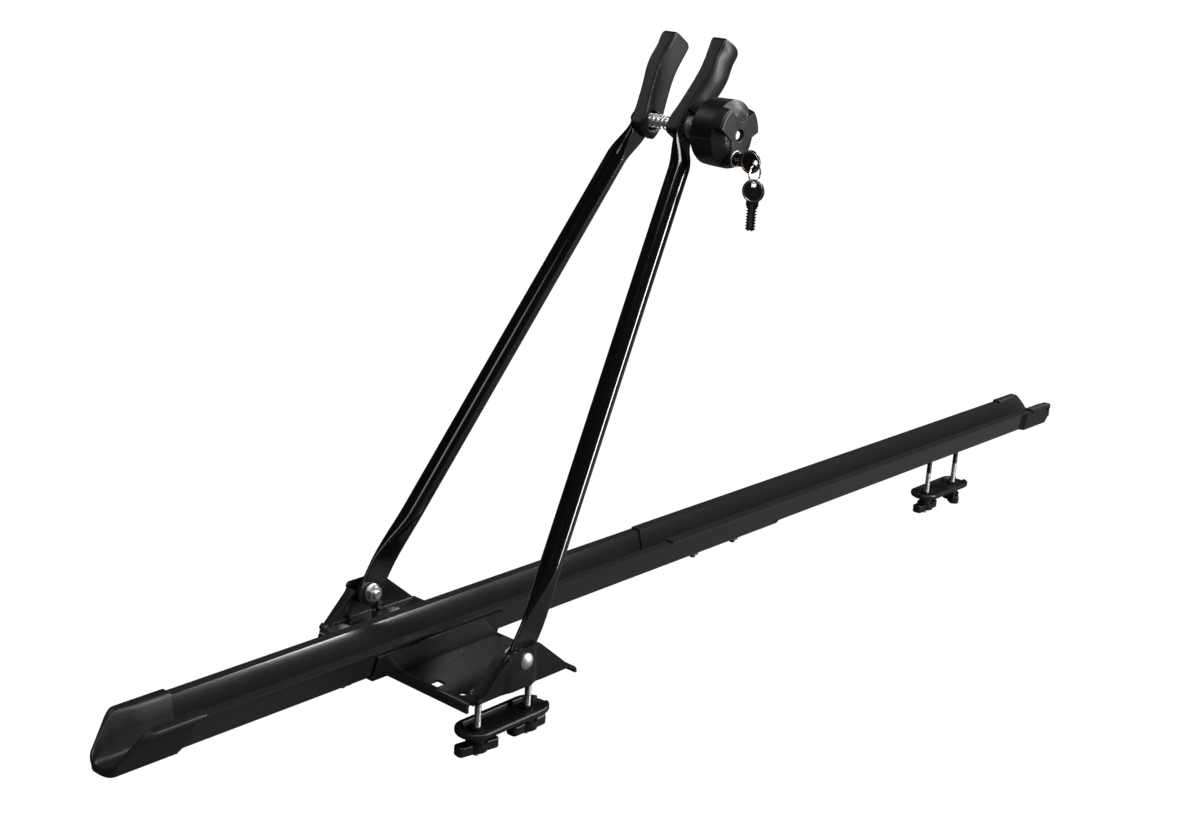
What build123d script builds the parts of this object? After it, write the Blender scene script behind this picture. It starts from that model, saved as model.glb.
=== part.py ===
from build123d import *
import math
import os

# Roof mounted bike carrier: a two piece wheel rail on a pressed steel bracket, and two tubular arms
# that hold the frame of the bike between soft jaws, drawn together by a lockable hand knob.
# Millimetres. +X runs along the rail from the bracket's end to the far end, +Z is up, and the origin
# is on the underside of the bracket, in the middle of where it sits on the front crossbar.

os.makedirs("parts", exist_ok=True)

# Clearances
thread_gap = 0.05
hole_gap = 0.25
seat_gap = 0.3
tilt_gap = 0.9
foot_hole_gap = 0.5
cut_over = 1.0

# Bracket, pressed from sheet
sheet = 2.5
plate_front_x = -52.0
plate_back_x = 66.0
bend_radius = 1.5
ear_outer_y = 100.0
flange_half_y = 93.0
front_flange_drop = 6.7
rear_curl_radius = 8.0
ear_front_x = -45.0
ear_back_x = 64.0
ear_top_front_x = -12.0
ear_top_back_x = 24.0
ear_top_z = 37.0
ear_corner_radius = 5.0
rib_spacing = 35.0
rib_width = 10.0
rib_crest = 6.0
rib_depth = 1.7
rib_run = 5.0
return_width = 12.0
return_low_z = 7.0
return_high_z = 34.0
square_hole = 10.5
square_hole_inset = 9.0
square_hole_y = 49.0
round_hole_radius = 3.5
round_hole_inset = 11.4
round_hole_y = 76.7

# Wheel rail: front half under, rear half nested in it
rail_sheet = 1.5
rail_height = 31.0
rail_floor_half = 9.5
rail_mouth_half = 18.0
rail_lip_half = 27.0
rail_bend_radius = 1.0
nest_gap = 0.1
front_rail_start_x = -284.0
front_rail_end_x = 492.0
rear_rail_start_x = 291.0
rear_rail_end_x = 1030.0
rail_corner_cut = 6.0

# Saddle between the bracket and the rail
saddle_floor = 3.5
saddle_wing = 2.0
saddle_wing_height = 24.0
saddle_front_x = -82.0
saddle_back_x = 65.0

# End caps, moulded
cap_wall = 2.0
cap_floor = 1.5
cap_lip_wall = 1.5
cap_flange_height = 5.0
cap_flange_reach = 2.5
cap_liner = 1.0
cap_liner_over = 16.0
cap_length = 78.0
cap_over_rail = 24.0
cap_slant = 15.0
cap_hump_from_nose = 32.0
cap_fall_shares = ((0, 0), (0.34, 0.17), (0.55, 0.36), (0.76, 0.69), (1, 1))
cap_nose_share = 0.55
cap_brow_share = 0.73
cap_brow = 13.0
cap_nose_radius = 7.0
cap_brow_radius = 6.0
cap_toe = 5.0

# Fasteners
m6_radius = 3.0
m6_head_radius = 7.2
m6_head_height = 3.4
m6_neck = 6.2
m6_neck_depth = 2.0
m6_nut_flats = 10.0
m6_nut_height = 5.0
m6_flange_radius = 6.8
m6_flange_height = 1.2
m6_proud = 3.0
m8_radius = 4.0
m8_head_radius = 7.0
m8_head_height = 4.2
m8_nut_flats = 13.0
m8_nut_height = 6.5
m8_flange_radius = 8.5
m8_flange_height = 1.6
m8_proud = 3.0
rail_bolt_front_x = -40.0
rail_bolt_back_x = 50.0
joint_bolt_spacing = 66.0

# Crossbar clamps
stud_spacing = 60.0
stud_y = 84.5
stud_tip_z = -54.0
rear_clamp_x = 845.0
rear_slot_travel = 40.0
clamp_length = 100.0
clamp_width = 34.0
clamp_bottom_z = -33.0
clamp_height = 6.0
clamp_floor = 3.0
clamp_rim = 5.0
clamp_edge_radius = 1.6
clamp_foot_radius = 2.8
rear_clamp_drop = 6.0
clamp_notch_width = 12.0
clamp_boss_radius = 6.5
clamp_boss_height = 2.0
wing_bar_length = 41.0
wing_bar_width = 11.5
wing_bar_height = 9.2
wing_hub_radius = 9.5
wing_collar_radius = 7.5
wing_height = 17.2
wing_tip_radius = 4.0
wing_edge_radius = 1.6
insert_flats = 10.0
insert_height = 7.0
wing_turns = ((-10.0, 0.0), (0.0, 0.0), (0.0, 45.0))

# Arms, flattened at both ends
pivot_x = 6.5
pivot_z = 26.0
rod_x = 264.7
rod_z = 441.8
arm_lean = 31.8
foot_y = 92.5
top_y = 26.0
tube_radius = 9.5
tube_wall = 1.5
foot_thick = 4.0
foot_half = 13.8
foot_straight = 22.0
foot_blend = 60.0
knee_drop = 34.0
knee_out = 10.7
knee_before = 2.0
blend_steps = 6
top_thick = 5.0
top_above = 12.0
top_straight = 8.0
top_half = 12.2
rod_slot_half = 3.2
spacer_radius = 9.0

# Jaws and clamp rod
jaw_shift = 4.2
jaw_front = -9.4
jaw_back = 16.0
jaw_bulge = 3.0
jaw_low = -13.5
jaw_high = 84.5
jaw_along = (-15.0, -7.0, 0.0, 12.0, 24.0, 35.0, 47.0, 59.0, 71.0, 86.0)
jaw_inner = (16.0, 12.6, 12.5, 15.5, 18.0, 20.1, 21.8, 22.2, 21.3, 20.8)
jaw_outer = (26.6, 27.8, 28.6, 30.0, 31.9, 34.4, 37.0, 37.2, 35.9, 33.6)
jaw_corner = 1.6
jaw_reach = 45.0
jaw_end_radius = 4.0
jaw_back_radius = 9.0
spring_pocket_radius = 8.8
spring_pocket_y = 21.5
rod_far_proud = 3.0
rod_near_end_y = -79.0
spring_wire = 1.4
spring_radius = 5.8
spring_turns = 8
spring_samples = 48
washer_radius = 10.0
washer_thick = 1.6

# Hand knob, on the rod
knob_back_y = -35.0
knob_face_y = -84.8
knob_core_radius = 23.0
knob_lobe_radius = 29.0
knob_lobe_half = 12.0
knob_lobe_corner = 4.5
knob_root_radius = 4.0
knob_shoulder = 11.0
knob_back_radius = 17.0
knob_front_round = 3.0
knob_dish_radius = 8.5
knob_dish_depth = 1.5
knob_rod_gap = 1.0
knob_insert_radius = 8.0
knob_insert_length = 17.0
lobe_groove_half = 4.0
lobe_groove_depth = 1.6
lobe_groove_step = 9.0

# Lock and keys
lock_drop = 20.6
knob_turn = -10.0
lock_radius = 4.6
lock_sleeve_radius = 5.6
lock_ring_radius = 7.5
lock_ring_proud = 1.2
lock_face_proud = 0.6
lock_depth = 22.0
key_thick = 2.0
key_blade_width = 6.6
key_blade_depth = 21.0
key_gap = 0.2
key_bow_radius = 10.2
key_bow_start = 5.0
key_hole_radius = 2.6
key_hole_in = 4.6
spare_blade_length = 25.1
tooth_pitch = 3.2
tooth_depth = 1.1
tooth_count = 6
ring_radius = 8.0
ring_wire = 0.8
ring_gap = 0.3

tiny = 0.01
rail_floor_z = sheet + saddle_floor
wall_slope = (rail_mouth_half - rail_floor_half) / (rail_height - rail_sheet)
wall_across = rail_sheet * math.hypot(1, wall_slope)
nest_step = wall_across - wall_slope * rail_sheet + nest_gap
front_rail_top = rail_floor_z + rail_height
rear_rail_floor_z = rail_floor_z + rail_sheet
rear_rail_top = front_rail_top + rail_sheet
near_tube_face_y = -top_y - top_thick / 2
washer_y = near_tube_face_y - tilt_gap
insert_y = washer_y - washer_thick - seat_gap
lock_x = rod_x + lock_drop * math.sin(math.radians(knob_turn))
lock_z = rod_z - lock_drop * math.cos(math.radians(knob_turn))
key_face_y = knob_face_y - lock_ring_proud - key_bow_start
bow_y = key_face_y - key_bow_radius
bow_hole_y = bow_y - key_bow_radius + key_hole_in
ring_top_z = lock_z - key_hole_radius + ring_wire + ring_gap
ring_low_z = ring_top_z - 2 * ring_radius
spare_hole_z = ring_low_z - key_hole_radius + ring_wire + ring_gap


def xz_plane(y):
    """A plane square to Y whose local axes run along X and Z."""
    return Plane(origin=(0, y, 0), x_dir=(1, 0, 0), z_dir=(0, -1, 0))


def yz_plane(x):
    """A plane square to X whose local axes run along Y and Z."""
    return Plane(origin=(x, 0, 0), x_dir=(0, 1, 0), z_dir=(1, 0, 0))


def block(low, high):
    """A box between two corners."""
    size = [b - a for a, b in zip(low, high)]
    middle = [(a + b) / 2 for a, b in zip(low, high)]
    return Pos(*middle) * Box(*size)


def bar(radius, start, end):
    """A round bar from one point to another."""
    way = Vector(*end) - Vector(*start)
    return extrude(Plane(origin=Vector(*start), z_dir=way) * Circle(radius), way.length)


def across(radius, x, z, y_from, y_to):
    """A round bar along Y."""
    return bar(radius, (x, y_from, z), (x, y_to, z))


def upright(radius, x, y, z_from, z_to):
    """A round bar along Z."""
    return bar(radius, (x, y, z_from), (x, y, z_to))


def side_prism(outline, y_low, y_high):
    """An outline in X and Z, taken from one Y to another."""
    return extrude(xz_plane(y_high) * outline, y_high - y_low, dir=(0, -1, 0))


def end_prism(outline, x_low, x_high):
    """An outline in Y and Z, taken from one X to another."""
    return extrude(yz_plane(x_low) * outline, x_high - x_low, dir=(1, 0, 0))


def outline(*points):
    """A closed flat outline through points."""
    return Polygon(*points, align=None)


def mirrored_y(shape):
    """The same shape on the other side of the rail."""
    return mirror(shape, about=Plane.XZ)


def hexagon(flats):
    """A hexagon by its width across flats."""
    return RegularPolygon(flats / 2, 6, major_radius=False)


def save(name, shapes):
    """Writes one named part from its solids."""
    solids = [solid for shape in shapes for solid in shape.solids()]
    whole = solids[0] if len(solids) == 1 else Compound(children=solids)
    whole.label = name
    export_step(whole, "parts/" + name + ".step")


def domed_head(radius, height, base, way):
    """A low domed bolt head standing on a base point."""
    ball = (radius * radius + height * height) / (2 * height)
    centre = Vector(*base) + Vector(*way) * (height - ball)
    sphere = Pos(*centre) * Sphere(ball)
    top = Vector(*base) + Vector(*way) * (height + cut_over)
    return sphere & bar(radius, base, top)


def flange_nut(flats, height, flange_radius, flange_height, bore, base, way):
    """A hexagon nut with a round flange, bored for its bolt."""
    plane = Plane(origin=Vector(*base), z_dir=Vector(*way))
    body = extrude(plane * hexagon(flats), height)
    body = body + extrude(plane * Circle(flange_radius), flange_height)
    return body - extrude(plane * Circle(bore), height)


def rail_wall(z, floor_half, floor_z):
    """Half the width between the rail's walls at a height."""
    return floor_half + wall_slope * (z - floor_z - rail_sheet)


def rail_outline(floor_half, floor_z):
    """The rail's section: a tapered channel with flat lips."""
    top = floor_z + rail_height
    inner_top = rail_wall(top, floor_half, floor_z)
    under_lip = rail_wall(top - rail_sheet, floor_half, floor_z) + wall_across
    outer_floor = rail_wall(floor_z, floor_half, floor_z) + wall_across
    right = [
        (outer_floor, floor_z),
        (under_lip, top - rail_sheet),
        (rail_lip_half, top - rail_sheet),
        (rail_lip_half, top),
        (inner_top, top),
        (floor_half, floor_z + rail_sheet),
    ]
    left = [(-y, z) for y, z in reversed(right)]
    shape = outline(*right, *left)
    low = shape.vertices().filter_by(lambda v: abs(v.Y - floor_z) < tiny)
    shape = fillet(low, rail_bend_radius + rail_sheet)
    high = shape.vertices().filter_by(lambda v: abs(v.Y - floor_z - rail_sheet) < tiny and abs(v.X) > floor_half - tiny)
    return fillet(high, rail_bend_radius)


def rail_bolt_places():
    """X places of the bolts that hold the rail to the bracket."""
    return (rail_bolt_front_x, rail_bolt_back_x)


def joint_bolt_places():
    """X places of the bolts that join the rail's halves."""
    middle = (rear_rail_start_x + front_rail_end_x) / 2
    return (middle - joint_bolt_spacing / 2, middle + joint_bolt_spacing / 2)


def stud_places(x_middle, y):
    """Places of a clamp's two bolts."""
    return [(x_middle - stud_spacing / 2, y), (x_middle + stud_spacing / 2, y)]


def ear_outline():
    """The bracket's ear, seen from the side."""
    low = sheet + bend_radius
    shape = outline(
        (ear_front_x, low),
        (ear_back_x, low),
        (ear_top_back_x, ear_top_z),
        (ear_top_front_x, ear_top_z),
    )
    top = shape.vertices().filter_by(lambda v: v.Y > (low + ear_top_z) / 2)
    return fillet(top, ear_corner_radius)


def quarter_bend(start, end, low, high):
    """The rounded fold between two walls of the sheet: a quarter of a pipe within a block."""
    pipe = bar(bend_radius + sheet, start, end) - bar(bend_radius, start, end)
    return pipe & block(low, high)


def rib_section(level, depth):
    """The pressed rib's section across its run: widest at the level, narrower at its crest."""
    return [(-rib_width / 2, level), (rib_width / 2, level), (rib_crest / 2, level + depth), (-rib_crest / 2, level + depth)]


def rib_prisms(x, y_level, z_level, grow):
    """An upright run up the ear and a short run in over the plate, for a rib or for its hollow."""
    top_plane = Plane(origin=(x, 0, -grow), x_dir=(1, 0, 0), z_dir=(0, 0, 1))
    ear_run = [(u, y_level - (v - y_level)) for u, v in rib_section(y_level, rib_depth)]
    upright_run = extrude(top_plane * outline(*ear_run), ear_top_z + grow)
    inner_end = ear_outer_y - sheet - rib_run
    flat_run = side_prism(outline(*rib_section(z_level, rib_depth)), inner_end, y_level)
    return upright_run + Pos(x, 0, 0) * flat_run


def slope_block(low, length, slope, inward, y_low, y_high, deep):
    """A block that lies along the ear's front slope, from its face inward."""
    corners = [low, low + slope * length, low + slope * length + inward * deep, low + inward * deep]
    return side_prism(outline(*[(c.X, c.Z) for c in corners]), y_low, y_high)


def return_flange():
    """The flange folded inward along the ear's front slope, which also stops the arm."""
    low_z = sheet + bend_radius
    slope = Vector(ear_top_front_x - ear_front_x, 0, ear_top_z - low_z).normalized()
    inward = Vector(slope.Z, 0, -slope.X)
    low = Vector(ear_front_x, 0, low_z) + slope * ((return_low_z - low_z) / slope.Z)
    length = (return_high_z - return_low_z) / slope.Z
    bend = bend_radius + sheet
    fold_y = ear_outer_y - bend
    strip = slope_block(low, length, slope, inward, ear_outer_y - return_width, fold_y, sheet)
    middle = low + inward * bend + Vector(0, fold_y, 0)
    finish = middle + slope * length
    pipe = bar(bend, middle, finish) - bar(bend_radius, middle, finish)
    corner = slope_block(low, length, slope, inward, fold_y, ear_outer_y, bend)
    return strip + (pipe & corner), corner


def far_ear():
    """The ear on the +Y side, with its folds, pressed ribs and return flange."""
    inner_y = ear_outer_y - sheet
    fold_y = inner_y - bend_radius
    fold_z = sheet + bend_radius
    wall = side_prism(ear_outline(), inner_y, ear_outer_y)
    flange, corner = return_flange()
    wall = (wall - corner) + flange
    fold = quarter_bend(
        (ear_front_x, fold_y, fold_z),
        (ear_back_x, fold_y, fold_z),
        (ear_front_x, fold_y, 0),
        (ear_back_x, ear_outer_y, fold_z),
    )
    ear = wall + fold
    inside = block((ear_front_x, fold_y - rib_run, 0), (ear_back_x, ear_outer_y, fold_z))
    room = side_prism(ear_outline(), fold_y - rib_run, ear_outer_y) + inside
    for x in (pivot_x - rib_spacing / 2, pivot_x + rib_spacing / 2):
        ear = ear + (rib_prisms(x, inner_y, sheet, 0) & room)
        ear = ear - rib_prisms(x, ear_outer_y, 0, cut_over)
    return ear


def bracket():
    """The pressed steel bracket: plate, front flange, rear curl and two ears."""
    fold_y = ear_outer_y - sheet - bend_radius
    fold_x = plate_front_x + sheet + bend_radius
    flange_fold_z = -bend_radius
    plate = block((fold_x, -fold_y, 0), (plate_back_x, fold_y, sheet))
    front_bend = quarter_bend(
        (fold_x, -flange_half_y, flange_fold_z),
        (fold_x, flange_half_y, flange_fold_z),
        (plate_front_x, -flange_half_y, flange_fold_z),
        (fold_x, flange_half_y, sheet),
    )
    flange = block(
        (plate_front_x, -flange_half_y, -front_flange_drop),
        (plate_front_x + sheet, flange_half_y, flange_fold_z),
    )
    curl_z = sheet - rear_curl_radius
    curl = across(rear_curl_radius, plate_back_x, curl_z, -ear_outer_y, ear_outer_y)
    curl = curl - across(rear_curl_radius - sheet, plate_back_x, curl_z, -ear_outer_y, ear_outer_y)
    curl = curl & block(
        (plate_back_x, -ear_outer_y, curl_z),
        (plate_back_x + rear_curl_radius, ear_outer_y, sheet),
    )
    tongue = block((ear_back_x, fold_y, 0), (plate_back_x, ear_outer_y, sheet))
    ear = far_ear() + tongue
    body = plate + front_bend + flange + curl + ear + mirrored_y(ear)
    for x in rail_bolt_places():
        body = body - upright(m6_flange_radius + hole_gap, x, 0, -cut_over, sheet + cut_over)
    hole_x = plate_front_x + square_hole_inset
    small_x = plate_front_x + round_hole_inset
    neck_half = m6_neck / 2 + hole_gap
    for side in (1, -1):
        body = body - across(m8_radius + hole_gap, pivot_x, pivot_z, side * fold_y, side * (ear_outer_y + cut_over))
        half = square_hole / 2
        y = side * square_hole_y
        body = body - block((hole_x - half, y - half, -cut_over), (hole_x + half, y + half, sheet + cut_over))
        body = body - upright(round_hole_radius, small_x, side * round_hole_y, -cut_over, sheet + cut_over)
        for x, y in stud_places(0, side * stud_y):
            body = body - block(
                (x - neck_half, y - neck_half, -cut_over),
                (x + neck_half, y + neck_half, sheet + cut_over),
            )
    return body


def rail_saddle():
    """The cradle that seats the tapered rail on the flat plate."""
    low = sheet
    high = low + saddle_wing_height
    inner = lambda z: rail_wall(z, rail_floor_half, rail_floor_z) + wall_across
    wing_across = saddle_wing * math.hypot(1, wall_slope)
    right = [
        (inner(low) + wing_across, low),
        (inner(high) + wing_across, high),
        (inner(high) + thread_gap, high),
        (inner(rail_floor_z) + thread_gap, rail_floor_z),
    ]
    left = [(-y, z) for y, z in reversed(right)]
    body = end_prism(outline(*right, *left), saddle_front_x, saddle_back_x)
    for x in rail_bolt_places():
        body = body - upright(m6_radius + hole_gap, x, 0, low - cut_over, rail_floor_z + cut_over)
    return body


def corner_cut(x, z, way):
    """A wedge that trims the lower corner at a rail's cut end."""
    points = [(x, z), (x - way * rail_corner_cut, z), (x, z + rail_corner_cut)]
    return side_prism(outline(*points), -rail_lip_half, rail_lip_half)


def front_rail():
    """The front half of the wheel rail, bolted to the bracket."""
    section = rail_outline(rail_floor_half, rail_floor_z)
    body = end_prism(section, front_rail_start_x, front_rail_end_x)
    body = body - corner_cut(front_rail_end_x, rail_floor_z, 1)
    for x in rail_bolt_places() + joint_bolt_places():
        body = body - upright(m6_radius + hole_gap, x, 0, rail_floor_z - cut_over, rail_floor_z + rail_sheet + cut_over)
    return body


def rear_rail():
    """The rear half, nested in the front half, slotted for the rear clamp."""
    section = rail_outline(rail_floor_half - nest_step, rear_rail_floor_z)
    body = end_prism(section, rear_rail_start_x, rear_rail_end_x)
    low = rear_rail_floor_z - cut_over
    high = rear_rail_floor_z + rail_sheet + cut_over
    for x in joint_bolt_places():
        body = body - upright(m6_radius + hole_gap, x, 0, low, high)
    neck_half = m6_neck / 2 + hole_gap
    reach = stud_spacing / 2 + rear_slot_travel + neck_half + hole_gap
    slot = block((rear_clamp_x - reach, -neck_half, low), (rear_clamp_x + reach, neck_half, high))
    return body - slot


def cap_side(nose_x, way, bottom, top):
    """The end cap from the side: hump, S shaped fall to the nose, and slanted inner edge."""
    hump_x = nose_x - way * cap_hump_from_nose
    edge_x = nose_x - way * cap_length
    fall = top - bottom - cap_floor
    nose_z = bottom + cap_floor
    places = [(hump_x + way * cap_hump_from_nose * a, top - fall * b) for a, b in cap_fall_shares]
    curve = Spline(*places, tangents=[(way, 0), (way, 0)])
    corners = [
        (nose_x, nose_z),
        (nose_x - way * cap_toe, bottom),
        (edge_x + way * cap_slant, bottom),
        (edge_x, top),
        (hump_x, top),
    ]
    return make_face(Wire([curve.edge()] + Polyline(*corners).edges()))


def cap_plan(nose_x, way, half):
    """The end cap from above: straight sides that draw in from the hump to a rounded nose."""
    far_x = nose_x - way * cap_length
    hump_x = nose_x - way * cap_hump_from_nose
    side = [
        (far_x, half),
        (hump_x, half),
        (hump_x + way * cap_brow, half * cap_brow_share),
        (nose_x, half * cap_nose_share),
    ]
    shape = outline(*side, *[(x, -y) for x, y in reversed(side)])
    nose = shape.vertices().filter_by(lambda v: abs(v.X - nose_x) < tiny)
    shape = fillet(nose, cap_nose_radius)
    hump = shape.vertices().filter_by(lambda v: abs(v.X - hump_x) < tiny)
    return fillet(hump, cap_brow_radius)


def cap_body(nose_x, way, floor_half, floor_z):
    """The end cap's outside: walls that follow the rail, and a flange that follows the scoop's edge."""
    bottom = floor_z - cap_floor
    top = floor_z + rail_height + cap_wall
    flange_half = rail_lip_half + cap_lip_wall
    ends = sorted((nose_x, nose_x - way * cap_length))
    foot = rail_wall(floor_z, floor_half, floor_z) + wall_across + cap_wall
    brow = rail_wall(top, floor_half, floor_z) + wall_across + cap_wall
    walls = end_prism(outline((-foot, bottom), (foot, bottom), (brow, top), (-brow, top)), *ends)
    side = cap_side(nose_x, way, bottom, top)
    rim = side - Pos(0, -cap_flange_height) * side
    wall_plan = cap_plan(nose_x - way * cap_flange_reach, way, flange_half)
    rim_plan = cap_plan(nose_x, way, flange_half)
    level = Plane.XY.offset(bottom)
    walls = walls & side_prism(side, -flange_half, flange_half) & extrude(level * wall_plan, top - bottom, dir=(0, 0, 1))
    return walls + (side_prism(rim, -flange_half, flange_half) & extrude(level * rim_plan, top - bottom, dir=(0, 0, 1)))


def cap_trough(low_x, high_x, floor_half, floor_z, inset):
    """The room inside the rail's walls, set in from them, open at the top."""
    high = floor_z + rail_height + cap_wall + cut_over
    low = floor_z + rail_sheet + inset
    low_half = rail_wall(low, floor_half, floor_z) - inset
    high_half = rail_wall(high, floor_half, floor_z) - inset
    return end_prism(outline((-low_half, low), (low_half, low), (high_half, high), (-high_half, high)), low_x, high_x)


def end_cap(rail_end_x, way, floor_half, floor_z):
    """A moulded end cap that slips over the rail's end, lines it, and opens into a scoop."""
    nose_x = rail_end_x + way * (cap_length - cap_over_rail)
    edge_x = nose_x - way * (cap_length + cut_over)
    body = cap_body(nose_x, way, floor_half, floor_z)
    body = body - end_prism(rail_outline(floor_half, floor_z), *sorted((edge_x, rail_end_x)))
    scoop = cap_trough(*sorted((edge_x, nose_x + way * cut_over)), floor_half, floor_z, cap_liner)
    inner_plan = cap_plan(nose_x - way * cap_wall, way, rail_lip_half)
    scoop = scoop & extrude(Plane.XY.offset(floor_z) * inner_plan, 2 * rail_height, dir=(0, 0, 1))
    liner_end_x = rail_end_x - way * cap_liner_over
    return body - scoop - cap_trough(*sorted((edge_x, liner_end_x)), floor_half, floor_z, 0)


def carriage_bolt(x, y, seat_z, tip_z):
    """A domed bolt with a square neck, head up, shank down."""
    neck = m6_neck / 2
    head = domed_head(m6_head_radius, m6_head_height, (x, y, seat_z), (0, 0, 1))
    shank = upright(m6_radius, x, y, tip_z, seat_z)
    square = block((x - neck, y - neck, seat_z - m6_neck_depth), (x + neck, y + neck, seat_z))
    return head + shank + square


def rail_bolts(places, seat_z, nut_z):
    """Domed bolts through the rail's floor."""
    tip_z = nut_z - m6_nut_height - m6_proud
    return [
        domed_head(m6_head_radius, m6_head_height, (x, 0, seat_z), (0, 0, 1)) + upright(m6_radius, x, 0, tip_z, seat_z)
        for x in places
    ]


def rail_nuts(places, nut_z):
    """Flange nuts under the rail bolts."""
    bore = m6_radius + thread_gap
    return [
        flange_nut(m6_nut_flats, m6_nut_height, m6_flange_radius, m6_flange_height, bore, (x, 0, nut_z), (0, 0, -1))
        for x in places
    ]


def pivot_bolt(side):
    """The bolt that an arm's foot turns on, put in from outside the ear."""
    inner_y = foot_y - foot_thick / 2 - tilt_gap - m8_nut_height - m8_proud
    head = domed_head(m8_head_radius, m8_head_height, (pivot_x, side * ear_outer_y, pivot_z), (0, side, 0))
    low, high = sorted((side * inner_y, side * ear_outer_y))
    return head + across(m8_radius, pivot_x, pivot_z, low, high)


def pivot_nut(side):
    """The flange nut on the pivot bolt, inside the arm's foot."""
    base = (pivot_x, side * (foot_y - foot_thick / 2 - tilt_gap), pivot_z)
    bore = m8_radius + thread_gap
    return flange_nut(m8_nut_flats, m8_nut_height, m8_flange_radius, m8_flange_height, bore, base, (0, -side, 0))


def pivot_spacer(side):
    """The nylon ring between the ear and the arm's foot."""
    outer = side * (ear_outer_y - sheet)
    inner = side * (foot_y + foot_thick / 2 + tilt_gap)
    low, high = sorted((inner, outer))
    ring = across(spacer_radius, pivot_x, pivot_z, low, high)
    return ring - across(m8_radius + thread_gap, pivot_x, pivot_z, low, high)


def clamp_plate(x, y, low_z):
    """The dished plate that grips the crossbar from below."""
    top_z = low_z + clamp_height
    radius = clamp_width / 2 - tiny
    base = Plane(origin=(x, y, low_z))
    body = extrude(base * RectangleRounded(clamp_length, clamp_width, radius), clamp_height)
    inner_width = clamp_width - 2 * clamp_rim
    inner = RectangleRounded(clamp_length - 2 * clamp_rim, inner_width, inner_width / 2 - tiny)
    body = body - extrude(base.offset(clamp_floor) * inner, clamp_height)
    rims = body.edges().filter_by(lambda e: e.bounding_box().min.Z > top_z - tiny)
    body = fillet(rims, clamp_edge_radius)
    low = body.edges().filter_by(lambda e: e.bounding_box().max.Z < low_z + tiny)
    body = fillet(low, clamp_foot_radius)
    for bolt_x, bolt_y in stud_places(x, y):
        body = body + upright(clamp_boss_radius, bolt_x, bolt_y, low_z, low_z + clamp_floor + clamp_boss_height)
        body = body - upright(m6_radius + hole_gap, bolt_x, bolt_y, low_z - cut_over, top_z + cut_over)
    end_x = x + clamp_length / 2
    half = clamp_notch_width / 2
    notch = block((end_x - 2 * clamp_rim, y - half, low_z + clamp_floor), (end_x + cut_over, y + half, top_z + cut_over))
    return body - notch


def wing_nut(x, y, plate_z, turn):
    """The grip bar of a wing nut, turned about its bolt, with its hub and collar."""
    top = plate_z - seat_gap
    low = top - wing_height
    bar_plane = Plane(origin=(x, y, low))
    grip = Rot(0, 0, turn) * RectangleRounded(wing_bar_length, wing_bar_width, wing_tip_radius)
    wing = extrude(bar_plane * grip, wing_bar_height)
    edges = wing.edges().filter_by(Plane.XY)
    wing = fillet(edges, wing_edge_radius)
    hub = upright(wing_hub_radius, x, y, low + wing_edge_radius, low + wing_bar_height)
    collar = upright(wing_collar_radius, x, y, low + wing_bar_height, top)
    body = wing + hub + collar
    pocket = extrude(Plane(origin=(x, y, top - insert_height)) * hexagon(insert_flats), insert_height)
    return body - pocket - upright(m6_radius + seat_gap, x, y, low - cut_over, top)


def wing_insert(x, y, plate_z):
    """The metal nut moulded in a wing nut."""
    top = plate_z - seat_gap
    body = extrude(Plane(origin=(x, y, top - insert_height)) * hexagon(insert_flats), insert_height)
    return body - upright(m6_radius + thread_gap, x, y, top - insert_height, top)


def smooth(share):
    """Eases a share from 0 to 1."""
    return share * share * (3 - 2 * share)


def way_at(lean_deg):
    """The direction in X and Z that leans back by an angle."""
    lean = math.radians(lean_deg)
    return Vector(math.sin(lean), 0, math.cos(lean))


def tube_section(place, way, wide, thick):
    """One section of an arm: wide across the arm in X and Z, thick in Y."""
    plane = Plane(origin=place, x_dir=Vector(0, 1, 0).cross(way), z_dir=way)
    return plane * RectangleRounded(wide, thick, min(wide, thick) / 2 - tiny)


def blend_loft(start, start_way, start_size, finish, finish_way, finish_size):
    """A piece of tube that changes evenly from one section to another."""
    sections = []
    for step in range(blend_steps + 1):
        share = step / blend_steps
        eased = smooth(share)
        size = [a + (b - a) * eased for a, b in zip(start_size, finish_size)]
        reach = (finish - start).length
        bend = start_way * (reach * share * (1 - share) ** 2) - finish_way * (reach * share ** 2 * (1 - share))
        place = start * (1 - eased) + finish * eased + bend
        way = (finish - start) * (6 * share * (1 - share)) + start_way * (reach * (1 - share) * (1 - 3 * share))
        way = (way + finish_way * (reach * share * (3 * share - 2))).normalized()
        sections.append(tube_section(place, way, *size))
    return loft(sections)


def straight_piece(start, finish, wide, thick):
    """A straight piece of an arm with one section."""
    way = (finish - start).normalized()
    return extrude(tube_section(start, way, wide, thick), (finish - start).length)


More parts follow.
